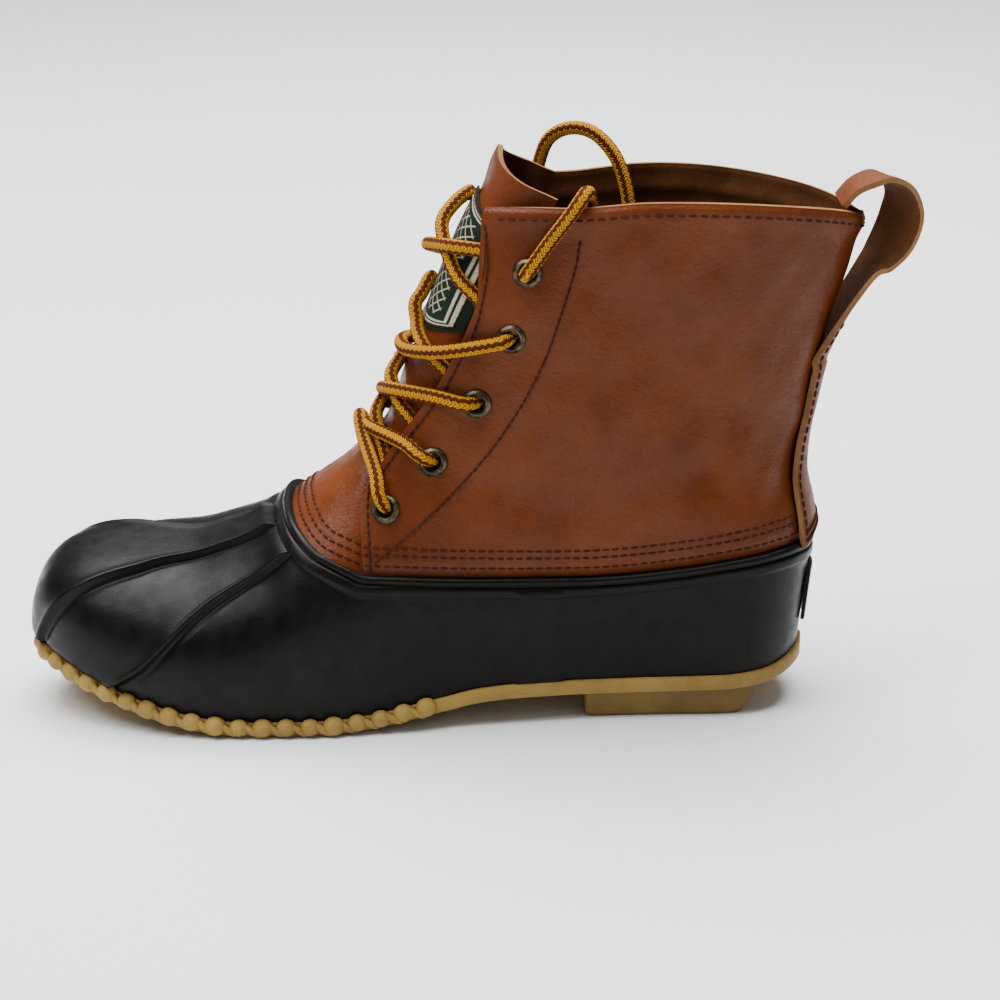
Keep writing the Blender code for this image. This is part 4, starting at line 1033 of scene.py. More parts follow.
@dataclass(frozen=True)
class NapFinish:
    """Rough flesh side of leather, and its cut edges."""

    name: str
    colour: Triple
    shade: Triple
    fibre: float = 900.0

    def make(self) -> Material:
        """Build the material."""
        paint = Paint(self.name, 0.92)
        clouds = paint.spread(paint.noise(60.0, 5.0, 0.65), 0.3, 0.7)
        fibres = paint.spread(paint.noise(self.fibre, 4.0, 0.7), 0.35, 0.7)
        tone = paint.blend(clouds, self.colour, self.shade)
        paint.colour(paint.blend(paint.math("MULTIPLY", fibres, 0.5), tone, self.shade))
        paint.bump(paint.noise(self.fibre, 4.0, 0.7), 0.0003, 0.8)
        paint.specular(0.1)
        return paint.material


@dataclass(frozen=True)
class RubberFinish:
    """Moulded rubber: satin, with a cloudy bloom and faint scuffs."""

    name: str
    colour: Triple
    bloom: Triple
    roughness: float
    relief: float = 0.0001
    grain: float = 1300.0
    gloss: float = 0.5

    def make(self) -> Material:
        """Build the material."""
        paint = Paint(self.name, self.roughness)
        clouds = paint.spread(paint.noise(34.0, 5.0, 0.62), 0.35, 0.7)
        scuffs = paint.spread(paint.noise(60.0, 4.0, 0.6, (1.0, 1.0, 5.0)), 0.58, 0.75)
        tone = paint.blend(clouds, self.colour, self.bloom)
        paint.colour(paint.blend(paint.math("MULTIPLY", scuffs, 0.4), tone, self.bloom))
        paint.uneven(150.0, 4.0, self.roughness - 0.07, self.roughness + 0.1)
        paint.specular(self.gloss)
        paint.bump(paint.noise(160.0, 3.0, 0.5), 0.0004, 0.25)
        paint.bump(paint.noise(self.grain, 3.0, 0.6), self.relief, 0.6)
        return paint.material


@dataclass(frozen=True)
class BraidFinish:
    """Round braided lace: lengthwise yellow and brown stripes with toothed edges, a painted highlight on the
    ridge tops and painted shade in the grooves.
    """

    name: str = "braided_lace"
    yellow: Triple = (0.42, 0.165, 0.001)
    # Painted highlight: the lighter yellow laid on the tops of the braid's ridges
    ridge_highlight: Triple = (0.6, 0.265, 0.002)
    brown: Triple = (0.075, 0.011, 0.0012)
    stripes: float = 4.0
    tooth: float = 0.0024
    brown_half: float = 0.21
    edge_blur: float = 0.03
    edge_teeth: float = 0.34

    def make(self) -> Material:
        """Build the material from the cord's own UV map: u round it, v along it in metres."""
        paint = Paint(self.name, 0.8)
        round_it, along_it = paint.uv()
        along = paint.math("DIVIDE", along_it, self.tooth)
        around = paint.math("MULTIPLY", round_it, self.stripes)
        toothed = paint.math("ADD", around, paint.math("MULTIPLY", paint.zigzag(along), self.edge_teeth))
        dark = paint.spread(paint.zigzag(toothed), self.brown_half + self.edge_blur,
                            self.brown_half - self.edge_blur)
        chevron = paint.math("ADD", paint.math("MULTIPLY", along, 2.0),
                             paint.math("MULTIPLY", paint.zigzag(around), 3.0))
        ridge = paint.spread(paint.zigzag(chevron), 0.5, 0.1)
        # Painted highlight: the ridge tops are blended from the yellow to the lighter highlight colour
        tone = paint.blend(ridge, self.yellow, self.ridge_highlight)
        tone = paint.blend(dark, tone, self.brown)
        # Painted shade: the grooves between the ridges are darkened towards a quarter of the yellow
        shade = tuple(0.25 * value for value in self.yellow)
        paint.colour(paint.blend(paint.spread(ridge, 0.3, 0.0, 0.0, 0.55), tone, shade))
        paint.bump(ridge, 0.0007, 0.9)
        paint.bump(paint.noise(2600.0, 2.0, 0.6), 0.00012, 0.6)
        paint.specular(0.12)
        return paint.material


@dataclass(frozen=True)
class MetalFinish:
    """Antiqued brass, with random clouds of darker tarnish."""

    name: str = "antique_metal"
    colour: Triple = (0.12, 0.1, 0.058)
    tarnish: Triple = (0.03, 0.026, 0.017)
    roughness: float = 0.36

    def make(self) -> Material:
        """Build the material."""
        paint = Paint(self.name, self.roughness)
        paint.shader.inputs["Metallic"].default_value = 0.9
        clouds = paint.spread(paint.noise(420.0, 4.0, 0.6), 0.35, 0.65)
        paint.colour(paint.blend(clouds, self.colour, self.tarnish))
        paint.uneven(700.0, 3.0, self.roughness - 0.08, self.roughness + 0.16)
        paint.bump(paint.noise(900.0, 3.0, 0.5), 0.00008, 0.5)
        return paint.material


@dataclass(frozen=True)
class ClothFinish:
    """Plain woven or felted cloth, and sewing thread."""

    name: str
    colour: Triple
    shade: Triple
    weave: float = 1400.0

    def make(self) -> Material:
        """Build the material."""
        paint = Paint(self.name, 0.85)
        clouds = paint.spread(paint.noise(90.0, 4.0, 0.6), 0.3, 0.7)
        paint.colour(paint.blend(clouds, self.colour, self.shade))
        paint.bump(paint.noise(self.weave, 3.0, 0.7), 0.0002, 0.8)
        paint.specular(0.2)
        return paint.material


@dataclass(frozen=True)
class LabelFinish:
    """Woven label: dark green ground, cream double border and a plain lattice."""

    name: str = "woven_label"
    ground: Triple = (0.004, 0.012, 0.007)
    cream: Triple = (0.5, 0.46, 0.33)
    lattice: float = 9.0
    stretch: float = 1.25
    border: tuple[Pair, ...] = ((0.055, 0.012), (0.095, 0.007))

    def make(self) -> Material:
        """Build the material from the label's UV map, 0 to 1 both ways."""
        paint = Paint(self.name, 0.85)
        u, v = paint.uv()
        across, down = (paint.math("SUBTRACT", 0.5, paint.from_half(way)) for way in (u, v))
        inset = paint.math("MINIMUM", across, paint.math("MULTIPLY", down, self.stretch))
        lines = []
        for middle, half in self.border:
            gap = paint.math("ABSOLUTE", paint.math("SUBTRACT", inset, middle))
            lines.append(paint.spread(gap, half + 0.006, half))
        tilted = [paint.math(way, paint.math("MULTIPLY", u, self.lattice),
                             paint.math("MULTIPLY", v, self.lattice * self.stretch))
                  for way in ("ADD", "SUBTRACT")]
        stems = [paint.spread(paint.zigzag(way), 0.11, 0.06) for way in tilted]
        inner = paint.spread(inset, 0.15, 0.165)
        motif = paint.math("MULTIPLY", paint.math("MAXIMUM", *stems), inner)
        threads = paint.spread(paint.noise(2300.0, 2.0, 0.6), 0.3, 0.6, 0.45, 1.0)
        design = paint.math("MAXIMUM", paint.math("MAXIMUM", *lines), paint.math("MULTIPLY", motif, 0.8))
        drawn = paint.math("MULTIPLY", design, threads)
        paint.colour(paint.blend(drawn, self.ground, self.cream))
        paint.bump(drawn, 0.0003, 0.7)
        paint.bump(paint.noise(1500.0, 2.0, 0.6, (1.0, 1.0, 2.0)), 0.0002, 0.8)
        paint.specular(0.15)
        return paint.material


class Finishes:
    """Every finish of the boot, made once."""

    def __init__(self) -> None:
        """Build them all."""
        self.leather = LeatherFinish().make()
        self.suede = NapFinish("flesh_side", (0.115, 0.045, 0.016), (0.062, 0.022, 0.007)).make()
        self.edge = NapFinish("cut_edge", (0.3, 0.15, 0.062), (0.17, 0.08, 0.032)).make()
        self.strap = LeatherFinish("strap_leather", (0.13, 0.034, 0.009), roughness=0.52).make()
        self.rubber = RubberFinish("dark_rubber", (0.0028, 0.0024, 0.002), (0.0048, 0.0043, 0.0037),
                                   0.36, gloss=0.12).make()
        self.gum = RubberFinish("gum_sole", (0.33, 0.205, 0.042), (0.22, 0.13, 0.027), 0.6, 0.0009,
                                620.0, 0.3).make()
        self.heel_gum = RubberFinish("gum_heel", (0.2, 0.12, 0.026), (0.13, 0.075, 0.017), 0.62, 0.0005,
                                     620.0, 0.3).make()
        self.thread = ClothFinish("waxed_thread", (0.045, 0.011, 0.003), (0.022, 0.005, 0.002)).make()
        self.lace = BraidFinish().make()
        self.metal = MetalFinish().make()
        self.label = LabelFinish().make()
        self.insole = ClothFinish("insole_felt", (0.15, 0.1, 0.055), (0.09, 0.06, 0.032), 800.0).make()
        self.tip = MetalFinish("lace_tip", roughness=0.3).make()


# Column mapping: shares of the rim, the top edge and the feather that belong together
KNOTS = (
    (0.0, 0.0, 0.0), (0.52, 0.48, 0.4), (0.76, 0.87, 0.62), (0.862, 0.925, 0.855),
    (0.945, 0.965, 0.962), (1.0, 1.0, 1.0))
QUARTER_EDGE = 0.76
COLLAR_FRONT = 0.52
RIDGE_OUTER = 0.862
RIDGE_INNER = 0.945
MEDIAL_RIDGE_SHIFT = 0.018
MM = 0.001


def mapped(shares: Array, which: int) -> Array:
    """Shares of the top edge (1) or the feather (2) that go with shares of the rim."""
    return np.interp(shares, column(KNOTS, 0), column(KNOTS, which))


def rim_line(side: Side, shares: Array) -> Array:
    """Points of the rubber's rim."""
    rough = FORM.onto(side_points(RIM, side, RIM_HEIGHT))[0]
    return FORM.cast(through(rough, shares))


def top_line(side: Side, shares: Array) -> Array:
    """Points of the upper's top edge at shares of the rim.

    Args:
        side: The side.
        shares: Shares of the rim's length.

    Returns:
        One point for each share.
    """
    rough = FORM.onto(side_points(COLLAR + THROAT[1:] + VAMP_TOP[1:], side, COLLAR_HEIGHT))[0]
    parts = [through(rough[:len(COLLAR)], 120), through(rough[len(COLLAR) - 1:-3], 120)[1:],
             through(rough[-4:], 30)[1:]]
    spans = (0.48, 0.39, 0.13)
    keys: list[float] = []
    start = 0.0
    for part, span in zip(parts, spans):
        count = len(part)
        first = 0 if start == 0.0 else 1
        keys.extend(start + span * (np.arange(count) + first) / (count - 1 + first))
        start += span
    line = np.concatenate(parts)
    where = mapped(shares, 1)
    return FORM.cast(np.stack([np.interp(where, keys, line[:, k]) for k in range(3)], -1))


def sampled(grid: Array, rows: Array, columns: Array) -> Array:
    """Bilinear reading of a grid at fractional rows and columns."""
    r0 = np.clip(np.floor(rows).astype(int), 0, grid.shape[0] - 2)
    c0 = np.clip(np.floor(columns).astype(int), 0, grid.shape[1] - 2)
    fr, fc = (rows - r0)[:, None], (columns - c0)[:, None]
    return ((grid[r0, c0] * (1 - fc) + grid[r0, c0 + 1] * fc) * (1 - fr)
            + (grid[r0 + 1, c0] * (1 - fc) + grid[r0 + 1, c0 + 1] * fc) * fr)


def rows_at(heights: float | Array, distances: Array) -> Array:
    """Fractional row at which each column's distance reaches its height."""
    wanted = np.broadcast_to(heights, distances.shape[1])
    return np.array([np.interp(height, distances[:, c], np.arange(len(distances)))
                     for c, height in enumerate(wanted)])


@dataclass(frozen=True)
class Crease:
    """A soft trough or ridge pressed into one side; a negative depth stands out."""

    side: Side
    points: tuple[Pair, ...]
    depth: float
    width: float

    def lift(self, points: Array) -> Array:
        """How far it moves points along the skin's normal.

        Args:
            points: Points on the skin.

        Returns:
            Metres, below 0 in a trough.
        """
        flat = points[..., [0, 2]]
        best = np.full(flat.shape[:-1], 1.0)
        for start, end in zip(self.points, self.points[1:]):
            a, b = np.array(start) * MM, np.array(end) * MM
            along = np.clip(np.sum((flat - a) * (b - a), axis=-1) / np.sum((b - a) ** 2), 0.0, 1.0)
            best = np.minimum(best, np.linalg.norm(flat - a - along[..., None] * (b - a), axis=-1))
        here = ease(self.side.value * points[..., 1], 0.0, 0.012)
        return -self.depth * np.exp(-(best / self.width) ** 2) * here


# Main creases, back to front: x and z in millimetres, then depth and width in metres
CREASES = (
    Crease(Side.LATERAL, ((-48.0, 186.0), (-22.0, 160.0), (4.0, 128.0), (14.0, 98.0)), 0.0013, 0.011),
    Crease(Side.LATERAL, ((-10.0, 182.0), (14.0, 160.0), (34.0, 132.0)), -0.001, 0.013),
    Crease(Side.LATERAL, ((-62.0, 92.0), (-40.0, 84.0), (-16.0, 86.0), (10.0, 96.0)), 0.001, 0.0085),
    Crease(Side.LATERAL, ((26.0, 120.0), (40.0, 104.0), (46.0, 84.0)), 0.0012, 0.0075),
    Crease(Side.LATERAL, ((-30.0, 110.0), (-12.0, 128.0), (-6.0, 150.0)), -0.0007, 0.01),
    Crease(Side.MEDIAL, ((-40.0, 176.0), (-14.0, 146.0), (8.0, 112.0)), 0.0011, 0.011),
    Crease(Side.MEDIAL, ((-60.0, 92.0), (-30.0, 84.0), (0.0, 90.0)), 0.001, 0.009),
    Crease(Side.MEDIAL, ((20.0, 130.0), (38.0, 104.0)), 0.001, 0.009))


def softened(points: Array) -> Array:
    """Slow hand-sized waviness of worked leather, metres along the normal."""
    x, y, z = points[..., 0], points[..., 1], points[..., 2]
    return (0.0003 * np.sin(150.0 * x + 95.0 * z + 60.0 * y) * np.sin(120.0 * z - 70.0 * x + 0.8)
            + 0.00016 * np.sin(310.0 * x - 240.0 * z + 90.0 * y + 1.7))


def worked(points: Array) -> Array:
    """Waviness and creases together, metres along the normal."""
    return softened(points) + sum(crease.lift(points) for crease in CREASES)


def crisp(obj: Piece, degrees: float = 50.0) -> None:
    """Keep a piece's cut edges sharp under smooth shading."""
    obj.data.set_sharp_from_angle(angle=math.radians(degrees))


def ridges(side: Side) -> Pair:
    """Rim shares of one side's outer and inner toe ridge."""
    return RIDGE_OUTER, RIDGE_INNER + (MEDIAL_RIDGE_SHIFT if side is Side.MEDIAL else 0.0)


@dataclass
class RubberBottom:
    """Moulded rubber lower: rim, toe ridges and the overlap strip on the lateral side."""

    finish: Finishes
    columns: int = 208
    rows: int = 46
    rim_cut: float = 0.001
    ridge_half: float = 0.002
    ridge_step: float = 0.0021
    ridge_lip: float = 0.0008
    ridge_groove: float = 0.0006
    strip: Pair = (-0.0573, -0.0398)
    strip_edge: float = 0.0004
    strip_lift: float = 0.0009
    strip_shares: Pair = (0.36, 0.46)
    strip_columns: int = 12

    # Rim's section: metres below its top, metres out from the skin
    RIM_PROFILE = (
        (0.0, -0.001), (0.0, 0.0004), (0.0003, 0.0012), (0.001, 0.0017), (0.0022, 0.0017),
        (0.0028, 0.0013), (0.0031, 0.0006), (0.0035, 0.0006), (0.0038, 0.0013), (0.0048, 0.0015),
        (0.0068, 0.0015), (0.0076, 0.0012), (0.008, 0.0002), (0.0086, 0.0))
    # Rim shares of the closer columns about a ridge
    CLOSE = (-0.0075, -0.0052, -0.0036, -0.0024, -0.0012, 0.0, 0.0012, 0.0024, 0.0036, 0.0052, 0.0075)

    def shares(self, side: Side) -> Array:
        """Rim shares of one side's columns, closer at the ridges and the strip."""
        parts = [np.linspace(0.0, 1.0, self.columns), np.linspace(*self.strip_shares, self.strip_columns)]
        parts += [ridge + np.array(self.CLOSE) for ridge in ridges(side)]
        shares = np.sort(np.concatenate(parts))
        return shares[shares <= 1.0]

    def relief(self, shares: Array, distances: Array, lengths: Array, grid: Array, side: Side) -> Array:
        """Height of the moulded ridges and the overlap strip.

        Args:
            shares: Rim share of each column.
            distances: Rows by columns, metres below the rim.
            lengths: Length of each column's path.
            grid: Skin points.
            side: The side of the boot.

        Returns:
            Metres along the normal, rows by columns.
        """
        lift = np.zeros(grid.shape[:2])
        below = ease(distances, 0.0072, 0.01) * ease(lengths[None] - distances, 0.0006, 0.004)
        half = self.ridge_half
        for ridge in ridges(side):
            step = ease(shares, ridge - half, ridge + half)
            lip = np.exp(-((shares - ridge - half - 0.0015) / 0.0032) ** 2)
            groove = np.exp(-((shares - ridge + half + 0.001) / 0.0026) ** 2)
            lift += (self.ridge_step * step + self.ridge_lip * lip - self.ridge_groove * groove) * below
        if side is Side.LATERAL:
            x = grid[..., 0] + 0.0006 * np.sin(grid[..., 2] * 230.0)
            back, front = (ease(x, edge - self.strip_edge, edge + self.strip_edge) for edge in self.strip)
            lift += self.strip_lift * back * (1.0 - front) * ease(distances, 0.0045, 0.0056)
        return lift

    def build(self) -> None:
        """Build and dress the rubber."""
        grids, lifts = [], []
        for side in Side:
            shares = self.shares(side)
            ends = spaced(FORM.feather_trail(side), mapped(shares, 2))
            paths = paths_between(rim_line(side, shares), ends)
            lengths = path_lengths(paths)
            near = column(self.RIM_PROFILE, 0)[:, None] * np.ones(len(shares))
            rest = near[-1] + (lengths - near[-1]) * np.linspace(0.0, 1.0, self.rows + 1)[1:, None]
            distances = np.concatenate([near, rest])
            grid = on_paths(paths, distances)
            grid[2:-1] = FORM.cast(grid[2:-1])
            lift = self.relief(shares, distances, lengths, grid, side)
            lift[:len(near)] += column(self.RIM_PROFILE, 1)[:, None]
            grids.append(grid)
            lifts.append(lift)
        grid, lift = (np.concatenate([pair[0], pair[1][:, -2:0:-1]], axis=1) for pair in (grids, lifts))
        normal = FORM.grid_normals(grid, closed=True)
        normal[0] = normal[1] = normal[2]
        wall = np.full((len(grid), 1, 1), RUBBER)
        wall[:len(self.RIM_PROFILE)] -= self.rim_cut
        obj = walled_grid("rubber_bottom", grid + normal * lift[..., None], grid - normal * wall,
                          [self.finish.rubber] * 3, closed=True)
        crisp(obj, 60.0)
        dress(obj, "rubber", "rubber_shell")


@dataclass
class GumSole:
    """Gum sole: smooth band behind, a row of knobs round the forepart, and a lugged tread."""

    finish: Finishes
    scatter: Scatter
    stations: int = 170
    across: int = 14
    reach: float = 0.0016
    knob_reach: float = 0.55
    lug: float = 0.0016
    lug_pitch: float = 0.0135
    lug_slant: float = 0.3
    knobs: int = 40
    knobs_from: float = -0.085
    knob: Triple = (0.0038, 0.0036, 0.0033)
    knob_place: Pair = (0.001, 0.0017)
    link: Triple = (0.0044, 0.0014, 0.0013)
    link_place: Pair = (0.0018, 0.0024)
    link_slant: float = 0.75

    # Side of the band. out: share of its reach; drop: millimetres up from the feather edge
    PROFILE = ((0.1, 0.2), (0.7, 0.0), (1.0, -0.6), (1.0, -4.6), (0.7, -5.3), (0.1, -5.6))

    def outline(self) -> Array:
        """Feather outline, back to toe on the lateral side and home on the medial one."""
        shares = np.linspace(0.0, 1.0, self.stations)
        sides = [spaced(FORM.feather_trail(side), shares) for side in Side]
        return np.concatenate([sides[0], sides[1][-2:0:-1]])

    @staticmethod
    def outward(line: Array) -> Array:
        """Level outward directions of the outline."""
        tangent = np.roll(line, -2, axis=0) - np.roll(line, 2, axis=0)
        normal = unit(np.stack([-tangent[:, 1], tangent[:, 0], np.zeros(len(line))], -1))
        centre = np.stack([np.clip(line[:, 0], -0.19, 0.015), np.zeros(len(line)), line[:, 2]], -1)
        facing = np.sum(normal * (line - centre), axis=1)
        return normal if np.sum(facing) > 0 else -normal

    def tread(self, points: Array) -> Array:
        """Lug heights below the sole's hollow, from 0 to 1."""
        x, y = points[..., 0], points[..., 1]
        wave = np.sin((x + self.lug_slant * np.abs(y)) * 2.0 * math.pi / self.lug_pitch)
        return ease(wave, -0.25, 0.25)

    def build(self) -> None:
        """Build and dress the sole."""
        line = self.outline()
        normal = self.outward(line)
        front = ease(-line[:, 0], -self.knobs_from - 0.004, -self.knobs_from + 0.004)[:, None]
        spine = np.stack([np.clip(line[:, 0], -0.2, 0.02), 0.15 * line[:, 1], line[:, 2]], -1)
        reach = self.reach * (1.0 - self.knob_reach * front)
        loops = [line - UP * 0.0003 + (spine - line) * share for share in (0.98, 0.5, 0.06)]
        loops += [line + normal * reach * out + UP * drop * MM for out, drop in self.PROFILE]
        bottom = line - UP * BAND_THICKNESS
        for share in np.linspace(0.03, 0.98, self.across):
            row = bottom + (spine - line) * share
            loops.append(row + UP * self.lug * (1.0 - self.tread(row))[:, None] * ease(share, 0.05, 0.12))
        grid = np.array(loops)
        sole = new_piece("gum_sole", grid.reshape(-1, 3), capped_faces(*grid.shape[:2]), [self.finish.gum])
        crisp(sole, 55.0)
        dress(sole, "gum", "outsole")
        self._lay_knobs(line, normal)

    def _lay_knobs(self, line: Array, normal: Array) -> None:
        """Lay the row of knobs and slanted links round the forepart.

        Args:
            line: The sole's outline.
            normal: Its level outward directions.
        """
        front = line[:, 0] < self.knobs_from
        path, aside = line[front], normal[front]
        run = run_of(path)
        tangent = unit(np.gradient(path, axis=0))
        middles = (np.arange(self.knobs) + 0.5) / self.knobs * run[-1]
        between = np.arange(1, self.knobs) / self.knobs * run[-1]
        for name, where, radii, faces, (out, down), slant in (
                ("gum_knobs", middles, self.knob, (14, 10), self.knob_place, 0.0),
                ("gum_links", between, self.link, (10, 8), self.link_place, self.link_slant)):
            shape = shape_object(name + "_shape", *ellipsoid(radii, *faces))
            outward = unit(read_at(where, run, aside))
            places = read_at(where, run, path) + outward * out - UP * down
            forward = unit(read_at(where, run, tangent) + slant * UP)
            dress(self.scatter.lay(name, places, outward, forward, shape, self.finish.gum), "gum")


@dataclass
class HeelBlock:
    """Gum heel: a low rounded block with cross grooves under it."""

    finish: Finishes
    front: float = -0.031
    flat: float = 0.026
    back: float = 0.034
    inset: float = 0.0016
    gap: float = 0.0002
    edge: float = 0.0009
    curl_rise: float = 0.75
    curl_power: float = 1.6
    groove: float = 0.0014
    groove_pitch: float = 0.0105
    groove_fade: Pair = (0.018, 0.024)
    rows: int = 60
    across: int = 9

    # Both ends: metres in from the face, and how far the sides draw in there
    END_STEPS = (0.0, 0.0006, 0.0016)
    END_PULLS = (0.0012, 0.0004, 0.0001)

    def section(self, x: float, pull: float, lift: float) -> list[Triple]:
        """Points round one cross-section, from the lateral top round the bottom to the medial top.

        Args:
            x: Where it stands.
            pull: How far its sides draw in.
            lift: How far its bottom draws up.

        Returns:
            The points.
        """
        z = FORM.feather(np.array([x]))
        width, middle = FORM.section(np.array([min(x, float(FORM.back(z)[0]) - 1e-4)]), z)
        inset = self.inset + pull
        lateral = float(middle[0] - width[0]) + inset
        medial = float(middle[0] + width[0]) - inset
        top = float(z[0]) - BAND_THICKNESS - self.gap
        curl = max(0.0, (x - self.flat) / (self.back - self.flat))
        low = self.curl_rise * top * curl ** self.curl_power + lift
        wave = math.sin((x - self.front) / self.groove_pitch * 2.0 * math.pi)
        cut = self.groove * float(ease(wave, 0.72, 0.92)) * (1.0 - float(ease(x, *self.groove_fade)))
        r = self.edge
        side = [(0.0, top - low), (0.0, 2 * r), (0.3 * r, 0.7 * r), (r, 0.0)]
        points = [(lateral + inwards, low + up) for inwards, up in side]
        points += [(y, low + cut) for y in np.linspace(lateral + 0.004, medial - 0.004, self.across)]
        points += [(medial - inwards, low + up) for inwards, up in side[::-1]]
        return [(x, y, height) for y, height in points]

    def build(self) -> None:
        """Build and dress the heel block."""
        steps = np.array(self.END_STEPS)
        even = np.linspace(self.front + 0.004, self.back - 0.002, self.rows)
        xs = np.concatenate([self.front + steps, even, self.back - steps[1::-1]])
        sections = []
        for k, x in enumerate(xs):
            end = min(k, len(xs) - 1 - k)
            pull = self.END_PULLS[end] if end < len(self.END_PULLS) else 0.0
            sections.append(self.section(x, pull, pull if k < len(steps) else 0.0))
        grid = np.array(sections)
        obj = new_piece("gum_heel_block", grid.reshape(-1, 3), capped_faces(*grid.shape[:2]),
                        [self.finish.heel_gum])
        crisp(obj)
        dress(obj, "gum_heel", "heel_block")


STITCH = (0.00142, 0.00046, 0.00042)


@dataclass
class StitchRun:
    """Points, outward and forward directions of the stitches laid out so far."""

    places: list[Array] = field(default_factory=list)
    outward: list[Array] = field(default_factory=list)
    forward: list[Array] = field(default_factory=list)

    def add(self, line: Array, normal: Array, pitch: float, lift: float = 0.0002) -> None:
        """Add evenly spaced stitches along a line.

        Args:
            line: The line's points, on the surface.
            normal: The surface's normal at each.
            pitch: Distance between stitches.
            lift: How far they stand on the surface.
        """
        run = run_of(line)
        if run[-1] < 2.0 * pitch:
            return
        count = int(run[-1] / pitch)
        where = (np.arange(count) + 0.5) / count * run[-1]
        out = unit(read_at(where, run, normal))
        self.places.append(read_at(where, run, line) + out * lift)
        self.outward.append(out)
        self.forward.append(unit(read_at(where, run, unit(np.gradient(line, axis=0)))))

    def follow(self, outer: Array, normal: Array, rows: Array, keep: Array | slice, pitch: float) -> None:
        """Add stitches across a grid.

        Args:
            outer: The grid's points.
            normal: Its normals.
            rows: Fractional row of the seam in each column.
            keep: The columns that it crosses.
            pitch: Distance between stitches.
        """
        columns = np.arange(outer.shape[1], dtype=float)[keep]
        self.add(sampled(outer, rows[keep], columns), sampled(normal, rows[keep], columns), pitch)

    def sew(self, finish: Finishes, scatter: Scatter) -> None:
        """Lay every stitch as one piece."""
        shape = shape_object("stitch_shape", *ellipsoid(STITCH, 6, 5))
        obj = scatter.lay("seam_stitches", np.concatenate(self.places), np.concatenate(self.outward),
                          np.concatenate(self.forward), shape, finish.thread)
        dress(obj, "leather")


